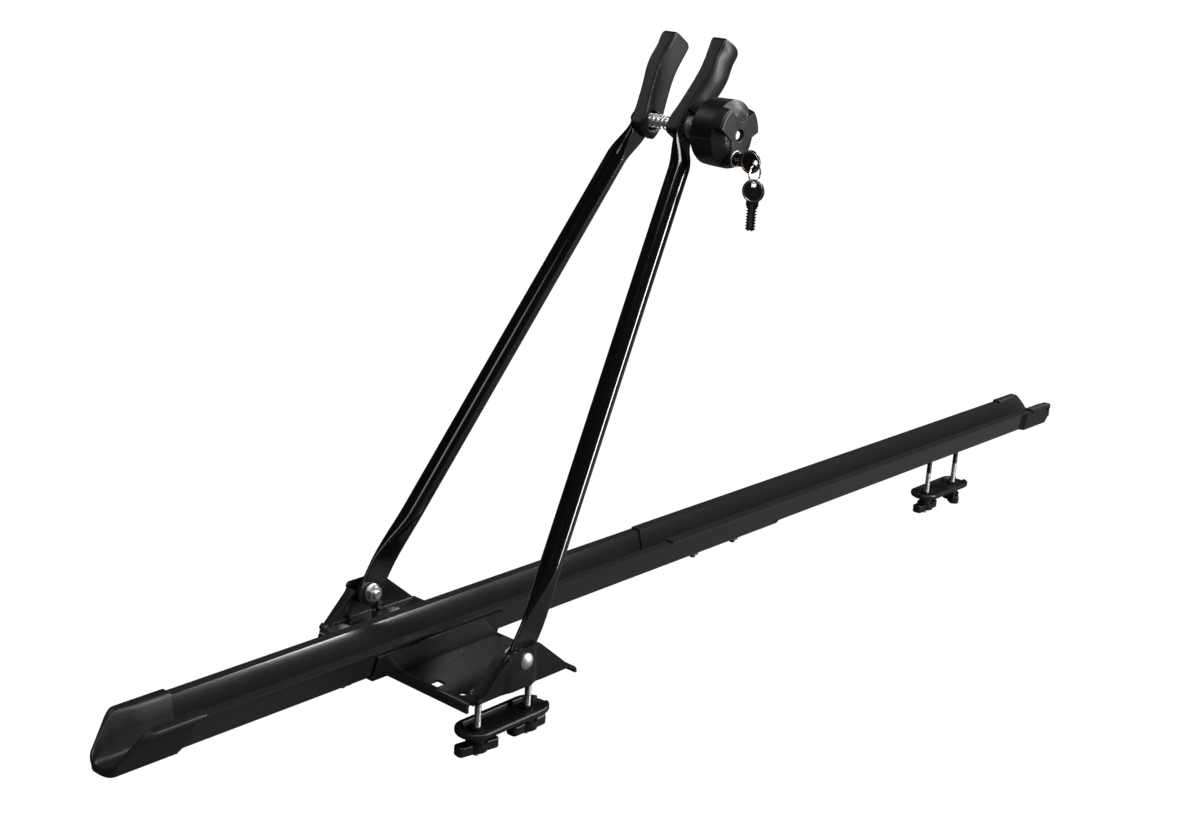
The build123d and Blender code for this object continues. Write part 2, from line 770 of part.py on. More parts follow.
def arm_tube():
    """The far arm: a round tube bent at the top and pressed flat at both ends."""
    way = way_at(arm_lean)
    pivot = Vector(pivot_x, foot_y, pivot_z)
    rod = Vector(rod_x, top_y, rod_z)
    foot_end = pivot + way * foot_straight
    top_start = rod - way * top_straight
    knee = rod - way * (knee_drop / way.Z) + Vector(0, knee_out, 0)
    run = (knee - foot_end).normalized()
    round_start = foot_end + run * foot_blend
    round_end = knee - run * knee_before
    flat = (2 * foot_half, foot_thick)
    pipe = (2 * tube_radius, 2 * tube_radius)
    flat_top = (2 * top_half, top_thick)
    foot = straight_piece(pivot, foot_end, *flat)
    foot = foot + across(foot_half, pivot_x, pivot_z, foot_y - foot_thick / 2, foot_y + foot_thick / 2)
    low = blend_loft(foot_end, way, flat, round_start, run, pipe)
    middle = straight_piece(round_start, round_end, *pipe)
    high = blend_loft(round_end, run, pipe, top_start, way, flat_top)
    top = straight_piece(top_start, rod + way * top_above, *flat_top)
    body = foot + low + middle + high + top
    body = body - straight_piece(round_start, round_end, pipe[0] - 2 * tube_wall, pipe[1] - 2 * tube_wall)
    body = body - across(m8_radius + foot_hole_gap, pivot_x, pivot_z, foot_y - foot_thick, foot_y + foot_thick)
    return body - rod_slot(top_y - top_thick, top_y + top_thick)


def rod_slot(y_low, y_high):
    """The slot that lets an arm tilt about the clamp rod."""
    way = (Vector(rod_x, 0, rod_z) - Vector(pivot_x, 0, pivot_z)).normalized() * rod_slot_half
    radius = m8_radius + foot_hole_gap
    ends = [(rod_x - way.X, rod_z - way.Z), (rod_x + way.X, rod_z + way.Z)]
    holes = [across(radius, x, z, y_low, y_high) for x, z in ends]
    side = way.normalized().cross(Vector(0, 1, 0)) * radius
    corners = [(x + s * side.X, z + s * side.Z) for (x, z), s in zip(ends + ends[::-1], (1, 1, -1, -1))]
    return holes[0] + holes[1] + side_prism(outline(*corners), y_low, y_high)


def jaw_seat():
    """The recess in the jaw's outer face that takes the end of the tube."""
    way = way_at(arm_lean)
    side = Vector(way.Z, 0, -way.X) * (top_half + seat_gap)
    rod = Vector(rod_x, 0, rod_z)
    high = rod + way * (top_above + seat_gap)
    low = rod + way * jaw_low * 2
    corners = [low - side, low + side, high + side, high - side]
    inner_y = top_y - top_thick / 2
    return side_prism(outline(*[(c.X, c.Z) for c in corners]), inner_y, jaw_reach)


def jaw_section(place, way, inner, outer):
    """One section of the far jaw: flat in front, bowed at its back and its outer side."""
    plane = Plane(origin=place, x_dir=(way.Z, 0, -way.X), z_dir=way)
    middle = (jaw_front + jaw_back) / 2
    edges = Polyline((jaw_front, outer), (jaw_front, inner), (jaw_back, inner)).edges()
    back = ThreePointArc((jaw_back, inner), (jaw_back + jaw_bulge, (inner + outer) / 2), (jaw_back, outer))
    side = ThreePointArc((jaw_back, outer), (middle, outer + jaw_bulge), (jaw_front, outer))
    shape = make_face(Wire(edges + [back.edge(), side.edge()]))
    return plane * fillet(shape.vertices(), jaw_corner)


def jaw_side():
    """The jaw from the side, along its lean: rounded ends, and a larger round at the top of its back."""
    low_corner = (jaw_front, jaw_low)
    high_corner = (jaw_back + jaw_bulge, jaw_high)
    middle = [(a + b) / 2 for a, b in zip(low_corner, high_corner)]
    shape = Pos(*middle) * Rectangle(*[b - a for a, b in zip(low_corner, high_corner)])
    crown = shape.vertices().filter_by(lambda v: v.X > middle[0] and v.Y > middle[1])
    shape = fillet(crown, jaw_back_radius)
    rest = shape.vertices().filter_by(lambda v: v.Y < middle[1] or v.X < middle[0])
    return fillet(rest.filter_by(lambda v: v.Y < jaw_high - tiny or v.X < jaw_front + tiny), jaw_end_radius)


def jaw(tube):
    """The far jaw: a soft block that rises above the arm and leans out and back."""
    way = way_at(arm_lean)
    foot = Vector(rod_x, 0, rod_z) - Vector(way.Z, 0, -way.X) * jaw_shift
    sections = [
        jaw_section(foot + way * along, way, inner, outer)
        for along, inner, outer in zip(jaw_along, jaw_inner, jaw_outer)
    ]
    plane = Plane(origin=foot, x_dir=(way.Z, 0, -way.X), z_dir=(0, -1, 0))
    body = loft(sections) & extrude(plane * jaw_side(), jaw_reach, dir=(0, 1, 0))
    body = body - jaw_seat() - tube
    body = body - across(spring_pocket_radius, rod_x, rod_z, 0, spring_pocket_y)
    return body - rod_slot(0, jaw_reach)


def clamp_rod():
    """The threaded rod through both arms."""
    far_y = top_y + top_thick / 2 + m8_nut_height + rod_far_proud
    return across(m8_radius, rod_x, rod_z, rod_near_end_y, far_y)


def rod_end_nut():
    """The flange nut that holds the rod to the far arm."""
    base = (rod_x, top_y + top_thick / 2, rod_z)
    bore = m8_radius + thread_gap
    return flange_nut(m8_nut_flats, m8_nut_height, m8_flange_radius, m8_flange_height, bore, base, (0, 1, 0))


def clamp_washer():
    """The washer that the knob presses on the near arm."""
    low = washer_y - washer_thick
    disc = across(washer_radius, rod_x, rod_z, low, washer_y)
    return disc - across(m8_radius + seat_gap, rod_x, rod_z, low, washer_y)


def biarc(start, start_way, finish, finish_way):
    """Two arcs that join two points and keep the directions at both."""
    gap = finish - start
    both = start_way + finish_way
    turn = 2 * (1 - start_way.dot(finish_way))
    reach = (math.sqrt(gap.dot(both) ** 2 + turn * gap.dot(gap)) - gap.dot(both)) / turn
    middle = (start + finish + (start_way - finish_way) * reach) * (1 / 2)
    middle_way = (gap - both * reach).normalized()
    return [
        Edge.make_tangent_arc(start, start_way, middle),
        Edge.make_tangent_arc(middle, middle_way, finish),
    ]


def spring_point(turn, low_y, rise):
    """A point of the spring's centre line and its direction there."""
    angle = 2 * math.pi * turn
    place = Vector(
        rod_x + spring_radius * math.cos(angle),
        low_y + rise * turn,
        rod_z + spring_radius * math.sin(angle),
    )
    way = Vector(
        -2 * math.pi * spring_radius * math.sin(angle),
        rise,
        2 * math.pi * spring_radius * math.cos(angle),
    )
    return place, way.normalized()


def clamp_spring():
    """The spring that pushes the jaws apart, one unbroken coil."""
    reach = spring_pocket_y - spring_wire / 2 - seat_gap
    rise = 2 * reach / spring_turns
    edges = []
    for quarter in range(4 * spring_turns):
        start, start_way = spring_point(quarter / 4, -reach, rise)
        finish, finish_way = spring_point((quarter + 1) / 4, -reach, rise)
        edges.extend(biarc(start, start_way, finish, finish_way))
    path = Wire(edges)
    start, start_way = spring_point(0, -reach, rise)
    points = [spring_point(step / spring_samples, -reach, rise)[0] for step in range(spring_samples * spring_turns + 1)]
    apart = [
        (points[i] - points[j]).length
        for i in range(len(points))
        for j in range(i + spring_samples // 2, len(points))
    ]
    print("least gap of the spring to itself", round(min(apart) - spring_wire, 3))
    return sweep(Plane(origin=start, z_dir=start_way) * Circle(spring_wire / 2), path=path)


def knob_outline():
    """The three lobed grip, seen along the rod."""
    shape = Circle(knob_core_radius)
    for lobe in range(3):
        arm = Rot(0, 0, 120 * lobe - 90 + knob_turn) * Pos(knob_lobe_radius / 2, 0) * Rectangle(knob_lobe_radius, 2 * knob_lobe_half)
        shape = shape + arm
    far = [v for v in shape.vertices() if math.hypot(v.X, v.Y) > knob_lobe_radius]
    shape = fillet(far, knob_lobe_corner)
    near = [v for v in shape.vertices() if abs(math.hypot(v.X, v.Y) - knob_core_radius) < tiny]
    return fillet(near, knob_root_radius)


def hand_knob():
    """The hand knob's body, bored for the rod, its insert and the lock."""
    middle = Plane(origin=(rod_x, knob_face_y, rod_z), x_dir=(1, 0, 0), z_dir=(0, -1, 0))
    length = knob_back_y - knob_face_y
    body = extrude(middle * knob_outline(), -length)
    spin = Axis((rod_x, 0, rod_z), (0, 1, 0))
    back_y = knob_back_y
    profile = [
        (rod_x, back_y),
        (rod_x + knob_back_radius, back_y),
        (rod_x + knob_lobe_radius, back_y - knob_shoulder),
        (rod_x + knob_lobe_radius, knob_face_y + knob_front_round),
        (rod_x + knob_lobe_radius - knob_front_round, knob_face_y),
        (rod_x, knob_face_y),
    ]
    section = Pos(0, 0, rod_z) * outline(*profile)
    body = body & revolve(section, spin)
    for lobe in range(3):
        angle = math.radians(120 * lobe - 90 + knob_turn)
        x = rod_x + knob_lobe_radius * math.cos(angle)
        z = rod_z + knob_lobe_radius * math.sin(angle)
        plane = Plane(origin=(x, knob_face_y + lobe_groove_step, z), x_dir=(math.cos(angle), 0, math.sin(angle)), z_dir=(0, 1, 0))
        cut = extrude(plane * Rectangle(2 * lobe_groove_depth, 2 * lobe_groove_half), length)
        body = body - cut
    body = body - across(m8_radius + knob_rod_gap, rod_x, rod_z, knob_face_y - cut_over, back_y + cut_over)
    body = body - across(knob_dish_radius, rod_x, rod_z, knob_face_y - cut_over, knob_face_y + knob_dish_depth)
    body = body - across(knob_insert_radius, rod_x, rod_z, insert_y - knob_insert_length, back_y + cut_over)
    return body - across(lock_sleeve_radius, lock_x, lock_z, knob_face_y - cut_over, knob_face_y + lock_depth)


def knob_insert():
    """The threaded metal insert in the knob's back."""
    low = insert_y - knob_insert_length
    body = across(knob_insert_radius, rod_x, rod_z, low, insert_y)
    return body - across(m8_radius + thread_gap, rod_x, rod_z, low, insert_y)


def lock_ring():
    """The lock's sleeve and the bright ring round its face."""
    sleeve = across(lock_sleeve_radius, lock_x, lock_z, knob_face_y, knob_face_y + lock_depth)
    ring = across(lock_ring_radius, lock_x, lock_z, knob_face_y - lock_ring_proud, knob_face_y)
    bore = lock_radius + thread_gap
    return sleeve + ring - across(bore, lock_x, lock_z, knob_face_y - lock_ring_proud, knob_face_y + lock_depth)


def lock_cylinder():
    """The lock's turning cylinder, with its key way."""
    face = knob_face_y - lock_face_proud
    body = across(lock_radius, lock_x, lock_z, face, knob_face_y + lock_depth)
    half_x = key_thick / 2 + key_gap
    half_z = key_blade_width / 2 + key_gap
    deep = key_face_y + key_blade_depth + key_gap
    return body - block((lock_x - half_x, face - cut_over, lock_z - half_z), (lock_x + half_x, deep, lock_z + half_z))


def key(blade_length):
    """A flat key in its own plane: bow at the origin, blade along local +X."""
    bow = Circle(key_bow_radius)
    reach = key_bow_radius + blade_length
    half = key_blade_width / 2
    blade = Pos(reach / 2, 0) * Rectangle(reach, key_blade_width)
    shape = bow + blade - Pos(-(key_bow_radius - key_hole_in), 0) * Circle(key_hole_radius)
    for tooth in range(tooth_count):
        x = reach - tooth_pitch * (tooth + 1 / 2)
        for side in (1, -1):
            shape = shape - Pos(x, side * half) * Rot(0, 0, 45) * Rectangle(tooth_depth, tooth_depth)
    return extrude(shape, key_thick / 2, both=True)


def inserted_key():
    """The key in the lock, its bow upright along the rod's direction."""
    plane = Plane(origin=(lock_x, bow_y, lock_z), x_dir=(0, 1, 0), z_dir=(1, 0, 0))
    return plane * key(key_blade_depth)


def spare_key():
    """The second key, hanging from the ring."""
    bow_z = spare_hole_z - key_bow_radius + key_hole_in
    plane = Plane(origin=(lock_x, bow_hole_y, bow_z), x_dir=(0, 0, -1), z_dir=(1, 0, 0))
    return plane * key(spare_blade_length)


def key_ring():
    """The ring that holds both keys."""
    plane = Plane(origin=(lock_x, bow_hole_y, ring_top_z - ring_radius), z_dir=(0, 1, 0))
    return plane * Torus(ring_radius, ring_wire)


def base_parts():
    """Parts that stay with the bracket and the rail."""
    rail_seat = rail_floor_z + rail_sheet
    joint_seat = rear_rail_floor_z + rail_sheet
    sides = (1, -1)
    yield "bracket", [bracket()]
    yield "rail_saddle", [rail_saddle()]
    yield "front_rail", [front_rail()]
    yield "rear_rail", [rear_rail()]
    yield "front_end_cap", [end_cap(front_rail_start_x, -1, rail_floor_half, rail_floor_z)]
    yield "rear_end_cap", [end_cap(rear_rail_end_x, 1, rail_floor_half - nest_step, rear_rail_floor_z)]
    yield "rail_mount_bolts", rail_bolts(rail_bolt_places(), rail_seat, sheet)
    yield "rail_mount_nuts", rail_nuts(rail_bolt_places(), sheet)
    yield "rail_joint_bolts", rail_bolts(joint_bolt_places(), joint_seat, rail_floor_z)
    yield "rail_joint_nuts", rail_nuts(joint_bolt_places(), rail_floor_z)
    bolts = [carriage_bolt(x, y, sheet, stud_tip_z) for side in sides for x, y in stud_places(0, side * stud_y)]
    yield "front_clamp_bolts", bolts
    yield "pivot_bolts", [pivot_bolt(side) for side in sides]
    yield "pivot_nuts", [pivot_nut(side) for side in sides]
    yield "pivot_spacers", [pivot_spacer(side) for side in sides]


def clamp_parts():
    """The three crossbar clamps and their wing nuts."""
    seat = rear_rail_floor_z + rail_sheet
    rear_tip_z = stud_tip_z - rear_clamp_drop
    rear_plate_z = clamp_bottom_z - rear_clamp_drop
    yield "rear_clamp_bolts", [carriage_bolt(x, y, seat, rear_tip_z) for x, y in stud_places(rear_clamp_x, 0)]
    clamps = (
        ("near", 0, -stud_y, clamp_bottom_z),
        ("far", 0, stud_y, clamp_bottom_z),
        ("rear", rear_clamp_x, 0, rear_plate_z),
    )
    for (name, x, y, low_z), turns in zip(clamps, wing_turns):
        yield name + "_clamp_plate", [clamp_plate(x, y, low_z)]
        for end, place, turn in zip(("front", "back"), stud_places(x, y), turns):
            yield name + "_wing_nut_" + end, [wing_nut(*place, low_z, turn)]
            yield name + "_wing_insert_" + end, [wing_insert(*place, low_z)]


def arm_parts():
    """The two arms with their jaws, rod, knob, lock and keys."""
    tube = arm_tube()
    block_jaw = jaw(tube)
    yield "far_arm_tube", [tube]
    yield "near_arm_tube", [mirrored_y(tube)]
    yield "far_jaw", [block_jaw]
    yield "near_jaw", [mirrored_y(block_jaw)]
    yield "clamp_rod", [clamp_rod()]
    yield "rod_end_nut", [rod_end_nut()]
    yield "clamp_spring", [clamp_spring()]
    yield "clamp_washer", [clamp_washer()]
    yield "hand_knob", [hand_knob()]
    yield "knob_insert", [knob_insert()]
    yield "lock_ring", [lock_ring()]
    yield "lock_cylinder", [lock_cylinder()]
    yield "inserted_key", [inserted_key()]
    yield "key_ring", [key_ring()]
    yield "spare_key", [spare_key()]


def main():
    """Builds every part and writes it."""
    for group in (base_parts, clamp_parts, arm_parts):
        for name, shapes in group():
            save(name, shapes)


main()
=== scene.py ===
import math

import bmesh
import bpy
from mathutils import Matrix, Vector

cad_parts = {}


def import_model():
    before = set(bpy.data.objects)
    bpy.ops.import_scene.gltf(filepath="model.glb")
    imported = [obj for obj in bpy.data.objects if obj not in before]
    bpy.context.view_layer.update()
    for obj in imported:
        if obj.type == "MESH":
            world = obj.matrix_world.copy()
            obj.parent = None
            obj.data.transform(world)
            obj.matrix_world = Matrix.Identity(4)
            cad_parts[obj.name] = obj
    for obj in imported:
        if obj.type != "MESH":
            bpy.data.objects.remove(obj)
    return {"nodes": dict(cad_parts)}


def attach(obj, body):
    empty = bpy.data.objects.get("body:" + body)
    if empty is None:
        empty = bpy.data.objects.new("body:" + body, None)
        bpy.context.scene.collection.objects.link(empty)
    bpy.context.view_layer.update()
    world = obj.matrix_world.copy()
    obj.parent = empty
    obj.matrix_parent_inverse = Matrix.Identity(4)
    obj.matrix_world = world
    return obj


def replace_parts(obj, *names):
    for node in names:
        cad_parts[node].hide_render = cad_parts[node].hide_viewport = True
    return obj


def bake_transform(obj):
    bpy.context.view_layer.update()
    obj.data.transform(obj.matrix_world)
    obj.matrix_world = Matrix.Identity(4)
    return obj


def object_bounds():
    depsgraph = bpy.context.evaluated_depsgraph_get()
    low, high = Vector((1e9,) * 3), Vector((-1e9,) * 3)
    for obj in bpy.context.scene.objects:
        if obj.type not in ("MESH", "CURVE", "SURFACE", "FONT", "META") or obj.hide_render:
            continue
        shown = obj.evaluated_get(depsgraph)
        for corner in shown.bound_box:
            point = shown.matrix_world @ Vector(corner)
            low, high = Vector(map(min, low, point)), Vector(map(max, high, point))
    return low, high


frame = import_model()
cad_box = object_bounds()
NODES = frame["nodes"]

MM = 0.001

# Camera, worked out from the photo
CAMERA_PLACE = Vector((-0.9946, -1.0164, 0.65395))
CAMERA_YAW = -49.62
CAMERA_PITCH = -16.90
CAMERA_ROLL = 3.68
CAMERA_LENS = 53.55
SENSOR_WIDTH = 36.0

# Places on the object, in millimetres
ROD_X, ROD_Z = 264.7, 441.8
ROD_NEAR_Y, ROD_FAR_Y = -82.0, 38.0
ROD_NUT_Y = 28.5
PIVOT_X, PIVOT_Z = 6.5, 26.0
EAR_Y = 100.0
EAR_PRESS = 2.2
FOOT_Y, FOOT_HALF, TILT_GAP = 92.5, 2.0, 0.9
LOCK_X, LOCK_Z = 261.123, 421.513
KNOB_FACE_Y = -84.8
BOW_Y = -101.2
BOW_HOLE_Y = -106.8
RING_TOP_Z, RING_RADIUS = 420.01, 8.0
STUD_Y, STUD_HALF = 84.5, 30.0
REAR_CLAMP_X = 845.0
SPARE_BOW_Z = 396.9
SPARE_TWIST = 0.28
SPRING_REACH, SPRING_RADIUS, SPRING_WIRE = 20.75, 5.8, 1.4
SPRING_TURNS, SPRING_CLOSED = 8, 0.75

# Fasteners, in millimetres
M6_RADIUS, M6_PITCH, M6_HEAD, M6_HEAD_HEIGHT = 3.0, 1.0, 7.2, 3.4
M8_RADIUS, M8_PITCH, M8_HEAD, M8_HEAD_HEIGHT = 4.0, 1.25, 7.0, 4.0
M8_NUT_FLATS, M8_NUT_HEIGHT, M8_FLANGE, M8_FLANGE_HEIGHT = 13.0, 6.5, 8.5, 1.6
M8_BORE, M8_PROUD = 4.05, 3.0

# Hand knob: degrees of its lobes and seams, sizes in millimetres
LOBE_MIDDLES = (24, 144, 264)
SEAM_MIDDLES = (64, 184, 304)
LOBE_RISE = (
    0, 5, 10, 14, 17, 19, 20, 20.6, 21.2, 21.8, 22.4, 23.2, 24.5, 27,
    31, 36, 38.4, 39.3, 40, 40.7, 41.6, 44, 48, 52, 56, 60,
)
LOBE_FALL = (56, 52, 48, 44, 40, 36, 31, 27, 24.5, 23.2, 22.4, 21.8, 21.2, 20.6, 20, 19, 17, 14, 10, 5)
LOBE_HALF, LOBE_REACH, DRUM_RADIUS = 10.0, 27.2, 30.0

# Keys: radius of the bow, half widths of the neck and the blade, and the hole, in millimetres
KEY_BOW, KEY_NECK, KEY_WAIST, KEY_EDGE = 10.0, 5.4, 4.5, 3.0
HOLE_OFF, HOLE_RADIUS = 5.7, 2.75

# End caps: depth of the scoop as shares, stations from the nose in millimetres
CAP_FALL = ((0, 0), (0.16, 0.07), (0.34, 0.22), (0.55, 0.45), (0.76, 0.73), (1, 1))
CAP_HUMP, CAP_HIGH, CAP_SLANT = 32.0, 33.0, 15.0
CAP_STATIONS = (
    0, 0.15, 0.5, 1.1, 2.0, 2.3, 3.0, 4.2, 5.6, 7.2, 9, 11, 13, 15, 17, 19, 21,
    23, 25, 27, 29, 31, 33, 35, 38, 42, 48, 54, 60, 66, 72, 76.5, 77.6, 78,
)


# Materials

def new_material(name):
    """An empty material with its shader and its object coordinates."""
    m = bpy.data.materials.new(name)
    m.use_nodes = True
    tree = m.node_tree
    shader = tree.nodes["Principled BSDF"]
    coords = tree.nodes.new("ShaderNodeTexCoord")
    return m, tree, shader, coords.outputs["Object"]


def noise(tree, coords, scale, detail=3.0, rough=0.5, stretch=None):
    """A noise factor; stretch squeezes it along the axes."""
    node = tree.nodes.new("ShaderNodeTexNoise")
    node.inputs["Scale"].default_value = scale
    node.inputs["Detail"].default_value = detail
    node.inputs["Roughness"].default_value = rough
    if stretch:
        mapping = tree.nodes.new("ShaderNodeMapping")
        mapping.inputs["Scale"].default_value = stretch
        tree.links.new(coords, mapping.inputs["Vector"])
        coords = mapping.outputs["Vector"]
    tree.links.new(coords, node.inputs["Vector"])
    return node.outputs["Fac"]


def ramp(tree, factor, low, high, start=0.3, end=0.7):
    """Spreads a factor between two values."""
    node = tree.nodes.new("ShaderNodeMapRange")
    node.inputs["From Min"].default_value = start
    node.inputs["From Max"].default_value = end
    node.inputs["To Min"].default_value = low
    node.inputs["To Max"].default_value = high
    tree.links.new(factor, node.inputs["Value"])
    return node.outputs["Result"]


def two_tone(tree, factor, dark, light):
    """Mixes two colours by a factor."""
    node = tree.nodes.new("ShaderNodeMix")
    node.data_type = "RGBA"
    node.inputs["A"].default_value = (*dark, 1)
    node.inputs["B"].default_value = (*light, 1)
    tree.links.new(factor, node.inputs["Factor"])
    return node.outputs["Result"]


def bump(tree, height, strength, distance, under=None):
    """A bump, over another where one is given."""
    node = tree.nodes.new("ShaderNodeBump")
    node.inputs["Strength"].default_value = strength
    node.inputs["Distance"].default_value = distance
    tree.links.new(height, node.inputs["Height"])
    if under:
        tree.links.new(under, node.inputs["Normal"])
    return node.outputs["Normal"]


def edge_highlight_mask(tree):
    """A factor that is high on convex edges, where a painted highlight goes."""
    geometry = tree.nodes.new("ShaderNodeNewGeometry")
    return ramp(tree, geometry.outputs["Pointiness"], 0.0, 1.0, 0.52, 0.60)


def coated(name, dark, light, rough_low, rough_high, orange_peel, coat):
    """Painted steel: faint orange peel, uneven gloss, dust in patches, and convex edges painted paler as a
    highlight.
    """
    m, tree, shader, coords = new_material(name)
    patches = noise(tree, coords, 9, 5, 0.6)
    fine = noise(tree, coords, 420, 3)
    edges = edge_highlight_mask(tree)
    tone = two_tone(tree, ramp(tree, patches, 0, 1), dark, light)
    # painted highlight: convex edges get a paler colour, standing in for light caught on the edges
    mix = tree.nodes.new("ShaderNodeMix")
    mix.data_type = "RGBA"
    mix.inputs["B"].default_value = (0.020, 0.020, 0.021, 1)
    tree.links.new(edges, mix.inputs["Factor"])
    tree.links.new(tone, mix.inputs["A"])
    tree.links.new(mix.outputs["Result"], shader.inputs["Base Color"])
    tree.links.new(ramp(tree, patches, rough_low, rough_high), shader.inputs["Roughness"])
    tree.links.new(bump(tree, fine, orange_peel, 0.0002), shader.inputs["Normal"])
    shader.inputs["Coat Weight"].default_value = coat
    shader.inputs["Coat Roughness"].default_value = 0.08
    return m


def moulded(name, dark, light, rough_low, rough_high, grain_size, grain):
    """Moulded plastic or rubber: fine leather like grain, faint flow marks and scuffs."""
    m, tree, shader, coords = new_material(name)
    flow = noise(tree, coords, 25, 4, 0.55, (1, 1, 3))
    cells = tree.nodes.new("ShaderNodeTexVoronoi")
    cells.inputs["Scale"].default_value = grain_size
    tree.links.new(coords, cells.inputs["Vector"])
    scuff = noise(tree, coords, 160, 6, 0.7, (1, 4, 1))
    tone = two_tone(tree, ramp(tree, flow, 0, 1), dark, light)
    tree.links.new(tone, shader.inputs["Base Color"])
    tree.links.new(ramp(tree, scuff, rough_low, rough_high), shader.inputs["Roughness"])
    under = bump(tree, flow, 0.05, 0.0006)
    tree.links.new(bump(tree, cells.outputs["Distance"], grain, 0.00015, under), shader.inputs["Normal"])
    return m


def metal(name, dark, light, rough_low, rough_high, stretch, scratch):
    """Plated metal: drawn or brushed streaks, cloudy plating and small pits."""
    m, tree, shader, coords = new_material(name)
    cloud = noise(tree, coords, 70, 4, 0.6)
    streak = noise(tree, coords, 300, 3, 0.6, stretch)
    tone = two_tone(tree, ramp(tree, cloud, 0, 1), dark, light)
    tree.links.new(tone, shader.inputs["Base Color"])
    tree.links.new(ramp(tree, streak, rough_low, rough_high), shader.inputs["Roughness"])
    tree.links.new(bump(tree, streak, scratch, 0.0001), shader.inputs["Normal"])
    shader.inputs["Metallic"].default_value = 1.0
    return m


def grey(red, green, blue):
    """A dark colour written in thousandths."""
    return (red / 1000, green / 1000, blue / 1000)


MATERIALS = {
    "steel": coated("steel_coat", grey(3.5, 3.5, 4.0), grey(6.0, 6.0, 6.6), 0.20, 0.30, 0.03, 0.15),
    "arm": coated("arm_coat", grey(2.5, 2.5, 2.8), grey(4.5, 4.5, 5.0), 0.10, 0.16, 0.006, 0.6),
    "rail": coated("rail_coat", grey(3.5, 3.5, 3.8), grey(5.5, 5.5, 6.0), 0.15, 0.22, 0.010, 0.20),
    "plastic": moulded("moulded_plastic", grey(5.5, 5.5, 6.0), grey(9.0, 9.0, 9.5), 0.32, 0.44, 1500, 0.14),
    "cap": moulded("cap_plastic", grey(8.5, 8.5, 9.0), grey(13.5, 13.5, 14.0), 0.38, 0.50, 1300, 0.18),
    "rubber": moulded("jaw_rubber", grey(3.2, 3.2, 3.2), grey(5.8, 5.6, 5.6), 0.36, 0.46, 1100, 0.20),
    "zinc": metal("zinc_plate", (0.55, 0.56, 0.57), (0.78, 0.79, 0.80), 0.18, 0.36, (1, 1, 6), 0.12),
    "stud": metal("stud_plate", (0.34, 0.35, 0.36), (0.52, 0.53, 0.54), 0.38, 0.55, (1, 1, 6), 0.05),
    "head": metal("bolt_head", (0.60, 0.61, 0.62), (0.80, 0.81, 0.82), 0.38, 0.52, (1, 1, 1), 0.06),
    "chrome": metal("bright_ring", (0.78, 0.78, 0.79), (0.88, 0.88, 0.89), 0.05, 0.14, (1, 1, 2), 0.04),
    # painted reflection: a dark colour on the bright nickel key, standing in for the dark surroundings it
    # reflects; the lock's cylinder and dark annulus share it
    "key": metal("key_nickel_painted_dark", (0.10, 0.080, 0.065), (0.19, 0.16, 0.14), 0.16, 0.30, (6, 1, 1), 0.15),
    "red": moulded("red_mark", (0.30, 0.01, 0.01), (0.45, 0.02, 0.02), 0.35, 0.5, 900, 0.1),
}


# Mesh helpers: points in millimetres

def piece(name, verts, faces, material, body, smooth=True, crease=35):
    """A mesh piece from points and faces, riding on a body."""
    mesh = bpy.data.meshes.new(name)
    mesh.from_pydata([Vector(v) * MM for v in verts], [], faces)
    bm = bmesh.new()
    bm.from_mesh(mesh)
    bmesh.ops.remove_doubles(bm, verts=bm.verts, dist=1e-6)
    bmesh.ops.recalc_face_normals(bm, faces=bm.faces)
    for face in bm.faces:
        face.smooth = smooth
    for edge in bm.edges:
        if len(edge.link_faces) == 2 and edge.calc_face_angle(0) > math.radians(crease):
            edge.smooth = False
    bm.to_mesh(mesh)
    bm.free()
    obj = bpy.data.objects.new(name, mesh)
    obj.data.materials.append(MATERIALS[material])
    bpy.context.scene.collection.objects.link(obj)
    if body:
        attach(obj, body)
    return obj


class Shape:
    """Gathers points and faces of one piece."""

    def __init__(self):
        self.verts, self.faces = [], []

    def add(self, verts, faces):
        base = len(self.verts)
        self.verts += [Vector(v) for v in verts]
        self.faces += [[base + i for i in f] for f in faces]

    def grid(self, rows, close_ring=True, start_cap=False, end_cap=False):
        """Rows of points of one length, joined into a skin."""
        count = len(rows[0])
        verts = [p for row in rows for p in row]
        faces = []
        last = count if close_ring else count - 1
        for r in range(len(rows) - 1):
            for c in range(last):
                d = (c + 1) % count
                faces.append([r * count + c, r * count + d, (r + 1) * count + d, (r + 1) * count + c])
        if start_cap:
            faces.append(list(range(count))[::-1])
        if end_cap:
            faces.append([(len(rows) - 1) * count + c for c in range(count)])
        self.add(verts, faces)


def around(count):
    """Even angles round a circle."""
    return [2 * math.pi * i / count for i in range(count)]


def basis(axis):
    """Two directions square to an axis."""
    axis = Vector(axis).normalized()
    side = axis.orthogonal().normalized()
    if abs(axis.z) > 0.9:
        side = Vector((1, 0, 0))
    if abs(axis.y) > 0.9:
        side = Vector((1, 0, 0))
    return side, axis.cross(side), axis


def lathe(shape, profile, base, axis, segments=48):
    """Turns a profile of (radius, height) about an axis."""
    u, v, w = basis(axis)
    base = Vector(base)
    rows = []
    for r, h in profile:
        r = max(r, 0.0005)
        rows.append([
            base + w * h + (u * math.cos(a) + v * math.sin(a)) * r
            for a in around(segments)
        ])
    shape.grid(rows)


def thread(shape, radius, pitch, depth, base, axis, length, segments=24, steps=5):
    """A threaded shank with a rounded V thread and a chamfered tip."""
    u, v, w = basis(axis)
    base = Vector(base)
    count = max(2, int(length / pitch * steps))
    rows = []
    for k in range(count + 1):
        h = length * k / count
        row = []
        for i, a in enumerate(around(segments)):
            wave = abs(((h / pitch - i / segments) % 1.0) * 2 - 1)
            r = radius - depth * (1 - wave)
            r = min(r, radius - depth + (length - h) * 0.8)
            row.append(base + w * h + (u * math.cos(a) + v * math.sin(a)) * r)
        rows.append(row)
    shape.grid(rows, end_cap=True)


